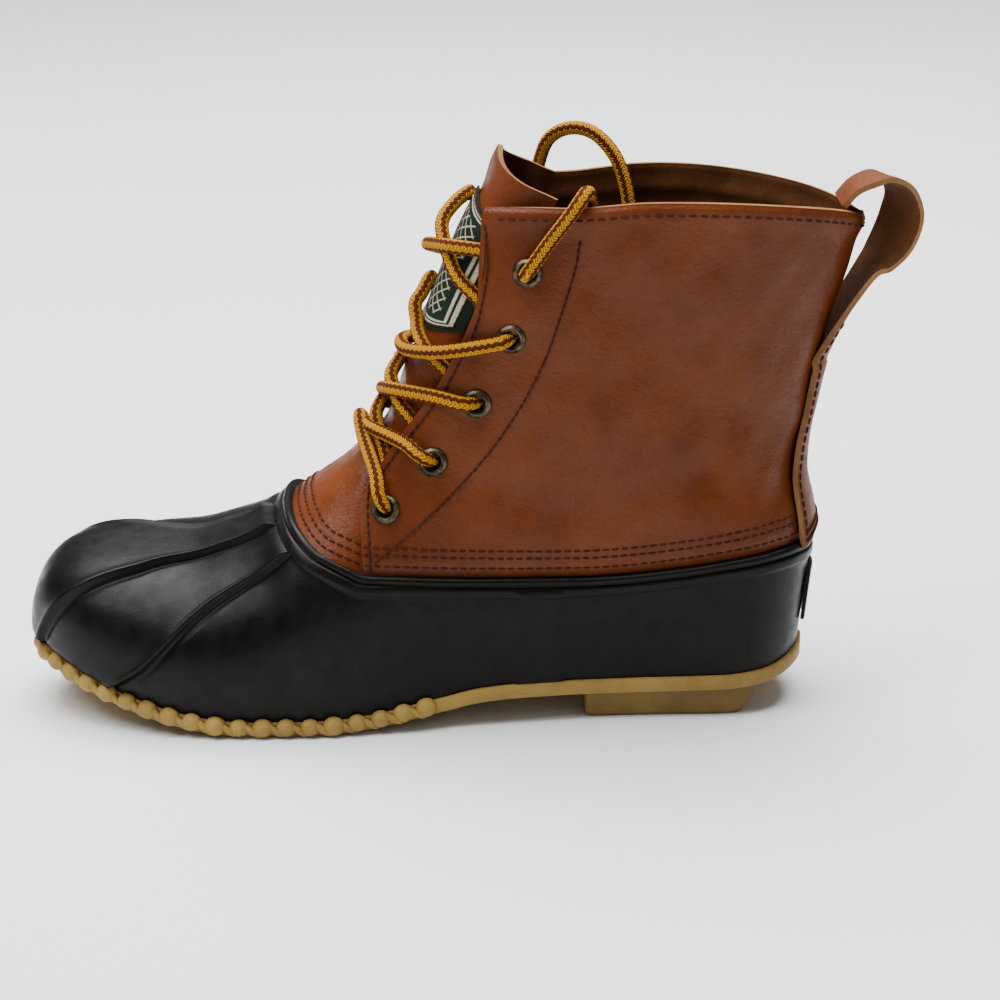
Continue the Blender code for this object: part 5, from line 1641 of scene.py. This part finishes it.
@dataclass
class Quarters:
    """Leather sides and back of the upper, one wrap from throat edge round the heel to throat edge."""

    finish: Finishes
    stitches: StitchRun
    collar_columns: int = 74
    throat_columns: int = 46
    rows: int = 84
    tuck: float = 0.003
    rim_sink: float = 0.0013
    edge_round: float = 0.002
    edge_thins: float = 0.0014
    collar_wall: float = 0.0034
    collar_depth: float = 0.009
    roll_in: float = 0.0009
    roll_out: float = 0.0007
    roll_middle: float = 0.0042
    roll_width: float = 0.004
    near: tuple[float, ...] = (0.0, 0.0008, 0.0018, 0.003, 0.0045, 0.006)
    hole: float = 0.0033
    hole_faces: int = 20
    hole_span: Pair = (-0.0055, 0.005)
    tack: Pair = (0.001, 0.0095)
    tack_pitch: float = 0.001
    rim_stitches: tuple[float, ...] = (0.0036, 0.0076, 0.0104)
    pitch: float = 0.0035
    collar_pitch: float = 0.004
    edge_pitch: float = 0.003
    stay_pitch: float = 0.0029

    def _side(self, side: Side) -> tuple[Array, Array, Array]:
        """One side of the skin, back to front.

        Args:
            side: The side.

        Returns:
            The grid, the distances above the rim and the length of each path.
        """
        shares = np.concatenate([np.linspace(0.0, COLLAR_FRONT, self.collar_columns),
                                 np.linspace(COLLAR_FRONT, QUARTER_EDGE, self.throat_columns)[1:]])
        starts, ends = rim_line(side, shares), top_line(side, shares)
        below = spaced(FORM.feather_trail(side), mapped(shares, 2))
        paths = paths_between(starts, ends, 40)
        lengths = path_lengths(paths)
        scale = np.minimum(1.0, lengths / 0.02)
        near = np.array(self.near)[:, None] * scale
        rest = near[-1] + (lengths - near[-1]) * np.linspace(0.0, 1.0, self.rows + 1)[1:, None]
        last = lengths - np.array([0.0018, 0.0009, 0.0003])[:, None] * scale
        distances = np.sort(np.concatenate([near, rest[:-1], last, lengths[None]]), axis=0)
        grid = on_paths(paths, distances)
        grid[1:-1] = FORM.cast(grid[1:-1])
        tucked = on_paths(paths_between(starts, below, 14), np.full((1, len(shares)), self.tuck))
        grid = np.concatenate([tucked, grid])
        distances = np.concatenate([np.full((1, len(shares)), -self.tuck), distances])
        return grid, distances, lengths

    def build(self) -> None:
        """Build and dress the quarters, and lay out their stitches."""
        lateral, medial = (self._side(side) for side in Side)
        grid = np.concatenate([lateral[0][:, ::-1], medial[0][:, 1:]], axis=1)
        distances = np.concatenate([lateral[1][:, ::-1], medial[1][:, 1:]], axis=1)
        lengths = np.concatenate([lateral[2][::-1], medial[2][1:]])
        normal = FORM.grid_normals(grid)
        inside = np.ones(grid.shape[1])
        inside[:self.throat_columns - 1] = 0.0
        inside[-self.throat_columns + 1:] = 0.0
        to_top = lengths[None] - distances
        at_edge = 1.0 - ease(to_top, 0.0, self.edge_round)
        offset = -self.rim_sink + self.rim_sink * ease(distances, 0.0, 0.005)
        offset += ease(distances, 0.01, 0.02) * ease(to_top, 0.002, 0.012) * worked(grid)
        offset -= self.roll_in * at_edge * inside
        offset += self.roll_out * np.exp(-((to_top - self.roll_middle) / self.roll_width) ** 2) * inside
        doubled = 1.0 - ease(to_top, self.collar_depth, self.collar_depth + 0.004)
        wall = LEATHER + (self.collar_wall - LEATHER) * doubled * inside - self.edge_thins * at_edge * inside
        outer = grid + normal * offset[..., None]
        inner = outer - normal * wall[..., None]
        finish = self.finish
        obj = walled_grid("leather_quarters", outer, inner, [finish.leather, finish.suede, finish.edge])
        crisp(obj)
        self._cut_holes(obj)
        self._lay_stitches(outer, normal, distances, lengths)
        dress(obj, "leather", "upper")

    def _cut_holes(self, obj: Piece) -> None:
        """Cut the eyelets' holes through the leather.

        Args:
            obj: The quarters, which are changed in place.
        """
        points, faces = [], []
        angle = np.linspace(0.0, 2.0 * math.pi, self.hole_faces, endpoint=False)
        for side in Side:
            for centre, axis in zip(*FORM.onto(side_points(EYELETS, side, COLLAR_HEIGHT))):
                across = unit(np.cross(axis, UP))
                lift = np.cross(axis, across)
                faces.extend(capped_faces(2, self.hole_faces, len(points)))
                for height in self.hole_span:
                    points.extend(centre + axis * height + self.hole * (
                        np.cos(angle)[:, None] * across + np.sin(angle)[:, None] * lift))
        cutter = shape_object("hole_shapes", np.array(points), faces)
        modifier = obj.modifiers.new("holes", "BOOLEAN")
        modifier.operation = "DIFFERENCE"
        modifier.solver = "EXACT"
        modifier.object = cutter
        mesh = bpy.data.meshes.new_from_object(obj.evaluated_get(bpy.context.evaluated_depsgraph_get()))
        obj.modifiers.remove(modifier)
        obj.data = mesh
        removed(cutter)

    def _lay_stitches(self, outer: Array, normal: Array, distances: Array, lengths: Array) -> None:
        """Lay out rows above the rim, and lines along the collar, the throat and the eyestay.

        Args:
            outer: The leather's outer face.
            normal: Its normals.
            distances: How far each point lies above the rim.
            lengths: The length of each column.
        """
        stitches = self.stitches
        for height in self.rim_stitches:
            stitches.follow(outer, normal, rows_at(height, distances), lengths > height + 0.004, self.pitch)
        first, last = self.throat_columns - 1, outer.shape[1] - self.throat_columns
        stitches.follow(outer, normal, rows_at(lengths - self.roll_middle, distances),
                        slice(first + 3, last - 3), self.collar_pitch)
        for side, throat, front in zip(Side, (slice(1, first), slice(last + 1, -1)), (2, -3)):
            edge = outer[-1, throat]
            inward = unit(outer[-6, throat] - edge)
            line, out = FORM.onto(edge + inward * 0.0034 + np.array([0.0022, 0.0, 0.0]))
            stitches.add(line, out, self.edge_pitch, 0.0004)
            stitches.add(outer[10:-6, front], normal[10:-6, front], self.edge_pitch, 0.0003)
            low = (distances[:, front] > self.tack[0]) & (distances[:, front] < self.tack[1])
            stitches.add(outer[low, front], normal[low, front], self.tack_pitch, 0.0004)
            seam = np.array(EYESTAY_SEAM) * MM
            seam[:, 1] *= -side.value
            line, out = FORM.onto(through(seam, 60))
            stitches.add(line + out * worked(line)[:, None], out, self.stay_pitch, 0.0003)


@dataclass
class VampTongue:
    """Leather vamp over the instep, carried up under the laces as the tongue."""

    finish: Finishes
    stitches: StitchRun
    columns: int = 65
    rows: int = 100
    spread: float = 0.3
    tuck: float = 0.0035
    shown_depth: float = 0.0048
    gusset_depth: float = 0.0072
    vamp_depth: float = 0.0016
    rim_stitches: tuple[float, ...] = (0.0032, 0.0067, 0.0102)
    pitch: float = 0.0034

    @staticmethod
    def tongue_rows(run: Array, across: Array) -> Array:
        """Rough tongue points at shares of its length and width."""
        rows = np.linspace(0.0, 1.0, len(TONGUE))
        part = [np.interp(run, rows, column(TONGUE, k)) for k in range(5)]
        reach_out = np.abs(across) ** 1.6
        return np.stack([station(part[0] + (part[2] - part[0]) * reach_out),
                         across * part[4] * BALL_WIDTH / 2,
                         (part[1] + (part[3] - part[1]) * reach_out) * COLLAR_HEIGHT], -1)

    def depth(self, run: Array, across: Array) -> Array:
        """How far the tongue lies under the form's skin."""
        gusset = ease(np.abs(across), 0.8, 0.97)
        depth = self.shown_depth + (self.gusset_depth - self.shown_depth) * gusset
        shown = ease(run, -0.02, 0.1)
        return self.vamp_depth + (depth - self.vamp_depth) * shown

    def surface(self, run: Array, across: Array, lift: float = 0.0) -> tuple[Array, Array]:
        """Tongue points and normals on its outer face.

        Args:
            run: Shares of the tongue's length.
            across: Shares of its half-width.
            lift: How far the points stand on the face.

        Returns:
            The points and the skin's normals.
        """
        skin, normal = FORM.onto(self.tongue_rows(run, across))
        return skin - normal * (self.depth(run, across) - lift)[..., None], normal

    def build(self) -> None:
        """Build and dress the vamp with its tongue, and lay out the vamp's stitches."""
        across = np.linspace(-1.0, 1.0, self.columns)
        shares = 1.0 - self.spread * np.abs(across)
        middle = self.columns // 2
        rims = [rim_line(side, shares) for side in Side]
        feathers = [spaced(FORM.feather_trail(side), mapped(shares, 2)) for side in Side]
        rim, feather = (np.concatenate([pair[0][:middle], pair[1][middle:]]) for pair in (rims, feathers))
        tucked = on_paths(paths_between(rim, feather, 14), np.full((1, self.columns), self.tuck))[0]
        runs = np.linspace(0.0, 1.0, 16)
        knots = [tucked, rim] + [self.tongue_rows(np.full(self.columns, run), across) for run in runs]
        knots = FORM.cast(np.array(knots))
        grid = np.empty((self.rows, self.columns, 3))
        run_at = np.empty((self.rows, self.columns))
        above = np.empty((self.rows, self.columns))
        for c in range(self.columns):
            line = through(knots[:, c], self.rows)
            grid[:, c] = line
            at = run_of(line)
            start = at[int(np.argmin(np.linalg.norm(line - knots[2, c], axis=1)))]
            rim_at = at[int(np.argmin(np.linalg.norm(line - knots[1, c], axis=1)))]
            run_at[:, c] = (at - start) / (at[-1] - start)
            above[:, c] = at - rim_at
        grid = FORM.cast(grid)
        normal = FORM.grid_normals(grid)
        u = across[None] * np.ones((self.rows, 1))
        under_quarter = ease(np.abs(u), 0.68, 0.82) * 0.0011
        depth = self.depth(run_at, u) + under_quarter * (1.0 - ease(run_at, 0.0, 0.2))
        depth -= 0.0003 * (1.0 - ease(above, 0.0, 0.003))
        shown = ease(run_at, 0.15, 0.3)
        ripple = 0.0005 * np.sin(run_at * 34.0 + 2.0 * u) * np.exp(-(u / 0.5) ** 2)
        outer = grid + normal * (-depth + softened(grid) * 0.8 + ripple * shown)[..., None]
        inner = outer - normal * LEATHER
        finish = self.finish
        obj = walled_grid("leather_vamp_tongue", outer, inner, [finish.leather, finish.suede, finish.edge])
        crisp(obj)
        for height in self.rim_stitches:
            self.stitches.follow(outer, normal, rows_at(height, above), np.abs(across) < 0.8, self.pitch)
        dress(obj, "leather", "tongue")


@dataclass
class TongueLabel:
    """Woven label sewn on the tongue, with a plain lattice."""

    finish: Finishes
    stitches: StitchRun
    tongue: VampTongue
    low: float = 0.46
    skew: float = 0.17
    high: float = 0.87
    half: float = 0.84
    lift: float = 0.0003
    thickness: float = 0.0007
    pitch: float = 0.0024

    def build(self) -> None:
        """Build and dress the label, and lay out its stitches."""
        v = np.linspace(0.0, 1.0, 30)
        u = np.linspace(0.0, 1.0, 25)
        share, across = np.meshgrid(v, self.half * (2.0 * u - 1.0), indexing="ij")
        start = self.low + self.skew * np.abs(across) ** 1.6
        run = start + (self.high - start) * share
        inner, normal = self.tongue.surface(run, across, self.lift)
        outer = inner + normal * self.thickness
        pairs = np.stack(np.meshgrid(u, v), -1)
        obj = walled_grid("woven_label", outer, inner, [self.finish.label] * 3, pairs)
        crisp(obj)
        edge, out = (np.concatenate([grid[1, 1:-1], grid[1:-1, -2], grid[-2, -2:0:-1], grid[-2:0:-1, 1]])
                     for grid in (outer, normal))
        self.stitches.add(edge, out, self.pitch, 0.0)
        dress(obj, "label", "tongue_label")


@dataclass
class Eyelets:
    """Ten rolled eyelets."""

    finish: Finishes
    scatter: Scatter
    radius: float = 0.0054
    bore: float = 0.0029
    lift: float = 0.0002
    around: int = 28

    def build(self) -> None:
        """Build and dress the eyelets."""
        r, b = self.radius, self.bore
        profile = ((b, -0.0022), (b, 0.0004), (b + 0.0002, 0.0009), (b + 0.0007, 0.0013),
                   (b + 0.0013, 0.00145), (r - 0.0011, 0.0013), (r - 0.0004, 0.0009), (r, 0.0003),
                   (r - 0.0001, 0.0001), (b + 0.0005, 0.0001), (b + 0.0005, -0.0022))
        angle = np.linspace(0.0, 2.0 * math.pi, self.around, endpoint=False)
        points = np.array([(math.cos(a) * radius, math.sin(a) * radius, height)
                           for radius, height in profile for a in angle])
        last = (len(profile) - 1) * self.around
        faces = grid_faces(len(profile), self.around, True)
        faces += [(last + c, last + (c + 1) % self.around, (c + 1) % self.around, c)
                  for c in range(self.around)]
        shape = shape_object("eyelet_shape", points, faces)
        sides = [FORM.onto(side_points(EYELETS, side, COLLAR_HEIGHT)) for side in Side]
        places, axes = (np.concatenate([side[k] for side in sides]) for k in range(2))
        obj = self.scatter.lay("metal_eyelets", places + axes * self.lift, axes, unit(np.cross(axes, UP)),
                               shape, self.finish.metal)
        names = [f"eyelet_{side}_{k}" for side in ("lateral", "medial") for k in range(1, 6)]
        dress(obj, "brass", *names)


class Pass(Enum):
    """How a strand meets an eyelet: up through it, or in from under the quarter's edge."""

    OUT = "out"
    IN = "in"


@dataclass(frozen=True)
class Strand:
    """One visible length of lace between a lateral and a medial eyelet."""

    crossing: int
    near_eyelet: int
    near_pass: Pass
    far_eyelet: int
    far_pass: Pass
    near: tuple[Triple, ...]
    far: Triple


# Strands of each crossing. near: points of the lateral half as they show, in millimetres; far: one
# point of the medial half, by the columns along, out and up
STRANDS = (
    Strand(1, 1, Pass.IN, 2, Pass.IN, ((-88.4, -2, 174.9), (-85, -10, 177.2), (-79.9, -18, 178.8),
           (-72.8, -24, 179.5), (-67.1, -27, 178.7)), (0.443, 0.47, 0.85)),
    Strand(1, 2, Pass.IN, 1, Pass.IN, ((-71.3, 6, 194.2), (-78, 0, 190.8), (-83.1, -6, 184.4),
           (-81.4, -13, 177.6), (-76.8, -22, 169.1), (-70.8, -28, 162)), (0.408, 0.38, 0.96)),
    Strand(2, 2, Pass.OUT, 3, Pass.IN, ((-98.4, -4, 139.1), (-94.9, -17, 140.1), (-83.9, -29, 142.7),
           (-69.5, -34, 145.5), (-64.2, -36, 147.5)), (0.47, 0.47, 0.685)),
    Strand(2, 3, Pass.IN, 2, Pass.OUT, ((-85.2, 4, 162.4), (-90.4, -2, 157.9), (-93, -6, 154.4),
           (-92.3, -9, 149.9), (-90.9, -14, 146), (-86.9, -22, 141.4), (-81.1, -28, 134.8)),
           (0.42, 0.56, 0.765)),
    Strand(3, 3, Pass.OUT, 4, Pass.IN, ((-105.3, -5, 122.1), (-100.6, -19, 125.5), (-87.7, -31, 126.3),
           (-76.9, -36, 125.1)), (0.52, 0.43, 0.575)),
    Strand(3, 4, Pass.IN, 3, Pass.OUT, ((-97.1, 3, 131.6), (-101.1, -4, 129.9), (-102.2, -8, 128.3),
           (-101.8, -11, 126.5), (-99.2, -20, 121.2), (-94.1, -27, 115.7)), (0.47, 0.56, 0.64)),
    Strand(4, 4, Pass.OUT, 5, Pass.IN, ((-113, -3, 108.3), (-110.2, -12, 108.8), (-98.9, -30, 108.6),
           (-91.6, -37, 105.9)), (0.54, 0.42, 0.5)),
    Strand(4, 5, Pass.IN, 4, Pass.OUT, ((-104.4, 2, 117.6), (-106.9, -5, 115.5), (-108, -9, 112.5),
           (-107.9, -15, 108.2), (-106.4, -26, 100.5)), (0.51, 0.56, 0.53)),
    Strand(4, 5, Pass.OUT, 5, Pass.OUT, ((-115.2, -4, 109.4), (-113.2, -14, 104.8), (-109.3, -30, 96.4),
           (-105.9, -39, 91.0)), (0.56, 0.43, 0.48)))


@dataclass
class Laces:
    """Braided lace: the crossings over the tongue and the two free ends."""

    finish: Finishes
    radius: float = LACE_DIAMETER / 2
    over_tongue: float = -0.0019
    over_quarter: float = 0.0032
    under_edge: float = -0.0046
    near_under: float = -0.0042
    near_before: float = -0.0022
    far_over: float = 0.0026
    far_under: float = -0.0034
    half_way: float = -0.0012
    taper: float = 0.28
    taper_run: Pair = (0.002, 0.008)
    seat: float = 0.0018
    bend: float = 0.0048
    clear_of_hole: float = 0.01
    tip_extra: float = 0.0002

    # Way into an eyelet: metres towards the strand, metres along the hole's axis
    INTO_HOLE = ((0.0062, 0.0038), (0.0026, 0.0024), (0.0, -0.0014), (0.0, -0.0046))
    # Points of a tip, metres back from the cord's end
    TIP = (0.014, 0.01, 0.006, 0.002)

    def _to_eyelet(self, index: int, side: Side, how: Pass, last: Array) -> list[Array]:
        """Points from a strand's last shown point into its eyelet.

        Args:
            index: The eyelet, from 1 at the top.
            side: Its side.
            how: Whether the strand lies over the quarter or under its edge.
            last: The last shown point.

        Returns:
            The points, in order.
        """
        centre, axis = FORM.onto(side_points(EYELETS[index - 1:index], side, COLLAR_HEIGHT))
        if how is Pass.OUT:
            toward = unit(last - centre[0])
            return [centre[0] + toward * back + axis[0] * up for back, up in self.INTO_HOLE]
        middle, way = FORM.onto(0.5 * (centre + last[None]))
        return [middle[0] + way[0] * self.under_edge, centre[0] + axis[0] * self.under_edge]

    def line(self, strand: Strand) -> Array:
        """Middle line of one strand.

        Args:
            strand: The strand.

        Returns:
            Its points, medial end last.
        """
        near = np.array(strand.near, float) * MM
        skin, normal = FORM.onto(near)
        height = np.sum((near - skin) * normal, axis=-1)
        near = skin + normal * np.maximum(height, self.over_tongue)[:, None]
        if strand.near_pass is Pass.OUT:
            near[-1] = skin[-1] + normal[-1] * max(height[-1], self.over_quarter)
            index = strand.near_eyelet
            hole = FORM.onto(side_points(EYELETS[index - 1:index], Side.LATERAL, COLLAR_HEIGHT))[0][0]
            near = near[np.linalg.norm(near - hole, axis=1) > self.clear_of_hole]
        else:
            near[-1] = skin[-1] + normal[-1] * min(height[-1], self.near_under)
            near[-2] = skin[-2] + normal[-2] * min(max(height[-2], self.over_tongue), self.near_before)
        far_skin, far_normal = FORM.onto(side_points((strand.far,), Side.MEDIAL, COLLAR_HEIGHT))
        half_skin, half_normal = FORM.onto(0.5 * (near[0] + far_skin))
        over = self.far_under if strand.far_pass is Pass.IN else self.far_over
        far_points = [half_skin[0] + half_normal[0] * self.half_way, far_skin[0] + far_normal[0] * over]
        start = self._to_eyelet(strand.near_eyelet, Side.LATERAL, strand.near_pass, near[-1])
        end = self._to_eyelet(strand.far_eyelet, Side.MEDIAL, strand.far_pass, far_points[-1])
        return through(start[::-1] + list(near[::-1]) + far_points + end, 110)

    def build(self) -> None:
        """Build and dress the lace."""
        for crossing in (1, 2, 3, 4):
            strands = []
            for k, strand in enumerate(s for s in STRANDS if s.crossing == crossing):
                line = self.line(strand)
                run = run_of(line)
                ends = 2.0 - ease(run, *self.taper_run) - ease(run[-1] - run, *self.taper_run)
                strands.append(tube(f"lace_{crossing}_{k}", line, self.radius * (1.0 - self.taper * ends),
                                    self.finish.lace, 18))
            dress(joined(f"lace_over_{crossing}", strands), "lace", f"lace_crossing_{crossing}")
        self._end("lateral", Side.LATERAL, END_LATERAL)
        self._end("medial", Side.MEDIAL, END_MEDIAL)

    def _end(self, name: str, side: Side, rows: Sequence) -> None:
        """Build one free end, out of its top eyelet, with its metal tip.

        Args:
            name: The side's name.
            side: The side.
            rows: Its route's table.
        """
        centre, normal = FORM.onto(side_points(EYELETS[:1], side, COLLAR_HEIGHT))
        route = np.concatenate([centre + normal * self.bend, side_points(rows, side, COLLAR_HEIGHT)])
        path = np.concatenate([centre + normal * self.seat, through(route, 34)])
        cord = tube(f"lace_end_{name}_braid", through(path, 120), self.radius, self.finish.lace, 16)
        way = unit(path[-1] - path[-4])
        tip = tube(f"lace_tip_{name}", np.array([path[-1] - way * back for back in self.TIP]),
                   self.radius + self.tip_extra, self.finish.tip, 14)
        dress(tip, "brass")
        dress(cord, "lace", f"lace_end_{name}")


def joined(name: str, parts: Sequence[Piece]) -> Piece:
    """Join meshes that share their materials into one piece.

    Args:
        name: The new piece's name.
        parts: The objects to join; they are removed.

    Returns:
        The joined object.
    """
    gathered = bmesh.new()
    for part in parts:
        gathered.from_mesh(part.data)
    mesh = bpy.data.meshes.new(name)
    gathered.to_mesh(mesh)
    gathered.free()
    for material in parts[0].data.materials:
        mesh.materials.append(material)
    mesh.shade_smooth()
    removed(*parts)
    return placed(name, mesh)


@dataclass
class PullLoop:
    """Back stay and pull loop, one folded strap sewn along its edges."""

    finish: Finishes
    stitches: StitchRun
    columns: int = 13
    rows: int = 120
    stay_rows: int = 60
    stay_steps: int = 13
    lift: float = 0.0011
    leaves: float = 0.69
    low_shift: float = -0.005
    twist: float = -1.9
    full_twist: float = 18.0
    pull_in: float = 0.0045
    crown: float = 0.0004
    crown_sink: float = 0.0002
    tack_rows: tuple[int, int] = (1, 3)
    tack_pitch: float = 0.0011
    pitch: float = 0.0034

    def _stay(self, across: Array) -> tuple[list[Array], list[Array]]:
        """Rows of the strap's middle that lie on the boot's back.

        Args:
            across: Shares of the strap's half-width.

        Returns:
            The rows and their normals, from the foot up.
        """
        middles, lifts = [], []
        foot, settled = STAY[0][0], STAY[3][0]
        for height in np.linspace(foot, self.leaves, self.stay_steps):
            z = height * COLLAR_HEIGHT
            half, shift = (np.interp(height, column(STAY, 0), column(STAY, k)) for k in (1, 2))
            shift += self.low_shift * (1.0 - float(ease(height, foot, settled)))
            back = float(FORM.back(np.array([z]))[0])
            rough = np.stack([np.full(self.columns, back), across * half * STRAP_WIDTH + shift,
                              np.full(self.columns, z)], -1)
            skin, normal = FORM.onto(rough)
            middles.append(skin + normal * (self.lift + STRAP_THICKNESS / 2))
            lifts.append(normal)
        return middles, lifts

    def _loop(self, across: Array, last: Array) -> list[Array]:
        """Rows of the strap's middle in the free loop.

        Args:
            across: Shares of the strap's half-width.
            last: The normal where the strap leaves the boot.

        Returns:
            The rows, in order.
        """
        middles = []
        level = np.array([0.0, 1.0, 0.0])
        route = np.array([(x, 0.0, z) for x, z, _ in LOOP])
        for point, direction, (_, _, twist) in zip(route, unit(np.gradient(route, axis=0)), LOOP):
            angle = math.radians(twist * self.twist)
            face = np.cross(level, direction)
            face = face if np.dot(face, last) > 0 else -face
            wide = level * math.cos(angle) + face * math.sin(angle)
            lift = np.cross(wide, direction)
            last = lift * np.sign(np.dot(lift, last))
            pulled = point - np.array([self.pull_in * abs(twist) / self.full_twist, 0.0, 0.0])
            middles.append(pulled + wide * 0.5 * STRAP_WIDTH * across[:, None])
        return middles

    def build(self) -> None:
        """Build and dress the strap, and lay out its stitches."""
        across = np.linspace(-1.0, 1.0, self.columns)
        middles, lifts = self._stay(across)
        knots = np.array(middles + self._loop(across, lifts[-1][self.columns // 2]))
        shares = np.linspace(0.0, 1.0, self.rows)
        centre = np.stack([through(knots[:, c], shares) for c in range(self.columns)], axis=1)
        normal = unit(np.cross(np.gradient(centre, axis=1), np.gradient(centre, axis=0)))
        if np.sum(normal[5] * lifts[0]) < 0:
            normal = -normal
        crown = self.crown * (1.0 - np.abs(across[None, :, None]) ** 3)
        outer = centre + normal * (STRAP_THICKNESS / 2 + crown - self.crown_sink)
        inner = centre - normal * STRAP_THICKNESS / 2
        finish = self.finish
        obj = walled_grid("pull_loop_strap", outer, inner, [finish.strap, finish.suede, finish.edge])
        crisp(obj)
        for row in self.tack_rows:
            self.stitches.add(outer[row, 1:-1], normal[row, 1:-1], self.tack_pitch, 0.0003)
        for k in (1, -2):
            self.stitches.add(outer[2:self.stay_rows, k], normal[2:self.stay_rows, k], self.pitch)
        dress(obj, "strap", "pull_loop")


def posed(axes: Sequence[Array], place: Sequence[float]) -> Matrix:
    """A matrix with the given X, Y and Z axes at a place."""
    return Matrix([(*map(float, row), float(at)) for row, at in zip(np.stack(axes, -1), place)]
                  + [(0.0, 0.0, 0.0, 1.0)])


@dataclass
class Studio:
    """Pale floor, soft lights and the camera."""

    azimuth: float = -1.0
    elevation: float = 19.0
    distance: float = 1.1
    target: Triple = (-0.062, 0.0, 0.07595)
    roll: float = 0.25
    lens: float = 104.76
    sensor: float = 36.0
    floor_half: float = 9.0
    world_strength: float = 0.24
    lit_point: Triple = (-0.03, 0.0, 0.08)

    # Lights: name, place, size in metres and power in watts
    LIGHTS = (("key", (-0.8, -0.35, 1.2), 0.8, 13.0), ("fill", (1.1, -0.9, 0.9), 1.0, 1.0),
              ("top", (-0.1, 0.5, 1.8), 2.2, 124.0))

    def place_camera(self) -> None:
        """Place the camera at the photograph's angle."""
        a, e = math.radians(self.azimuth), math.radians(self.elevation)
        back = np.array([math.sin(a) * math.cos(e), -math.cos(a) * math.cos(e), math.sin(e)])
        right = np.array([math.cos(a), math.sin(a), 0.0])
        up = np.cross(back, right)
        r = math.radians(self.roll)
        turned_right = right * math.cos(r) - up * math.sin(r)
        turned_up = up * math.cos(r) + right * math.sin(r)
        data = bpy.data.cameras.new("camera")
        data.lens = self.lens
        data.sensor_width = self.sensor
        camera = placed("camera", data)
        place = np.array(self.target) + back * self.distance
        camera.matrix_world = posed([turned_right, turned_up, back], place)
        bpy.context.scene.camera = camera

    def light(self) -> None:
        """Lay the floor and hang the lights."""
        far = self.floor_half
        mesh = bpy.data.meshes.new("floor")
        mesh.from_pydata([(-far, -far, 0.0), (far, -far, 0.0), (far, far, 0.0), (-far, far, 0.0)], [],
                         [(0, 1, 2, 3)])
        floor = placed("floor", mesh)
        paint = Paint("pale_floor", 0.75)
        clouds = paint.spread(paint.noise(1.3, 2.0), 0.3, 0.7)
        paint.colour(paint.blend(clouds, (0.8, 0.82, 0.83), (0.83, 0.85, 0.86)))
        mesh.materials.append(paint.material)
        for name, place, size, power in self.LIGHTS:
            data = bpy.data.lights.new(name, "AREA")
            data.shape = "DISK"
            data.size = size
            data.energy = power
            aim = unit(np.array(self.lit_point) - np.array(place))
            side = unit(np.cross(aim, UP))
            placed(name, data).matrix_world = posed([side, np.cross(side, aim), -aim], place)
        world = bpy.data.worlds.new("soft_world")
        world.use_nodes = True
        world.node_tree.nodes["Background"].inputs["Color"].default_value = (0.93, 0.96, 1.0, 1.0)
        world.node_tree.nodes["Background"].inputs["Strength"].default_value = self.world_strength
        bpy.context.scene.world = world


def dress_solids(finish: Finishes) -> None:
    """Give the solids that stay their finishes."""
    for name, material in (("insole", finish.insole), ("heel_plate", finish.rubber)):
        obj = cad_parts[name]
        obj = bpy.data.objects.get(obj) if isinstance(obj, str) else obj
        obj.data.materials.clear()
        obj.data.materials.append(material)


def main() -> None:
    """Build the boot's looks in order."""
    logging.basicConfig(level=logging.INFO, format="%(name)s: %(message)s")
    studio = Studio()
    studio.place_camera()
    studio.light()
    finish = Finishes()
    stitches = StitchRun()
    tongue = VampTongue(finish, stitches)
    for piece in (Laces(finish), RubberBottom(finish), GumSole(finish, Scatter("lay_knobs", 7, 0.07)),
                  HeelBlock(finish), Quarters(finish, stitches), tongue,
                  TongueLabel(finish, stitches, tongue), Eyelets(finish, Scatter("lay_eyelets", 3, 0.0)),
                  PullLoop(finish, stitches)):
        piece.build()
    stitches.sew(finish, Scatter("lay_stitches", 11, 0.06))
    dress_solids(finish)


if __name__ == "__main__":
    main()
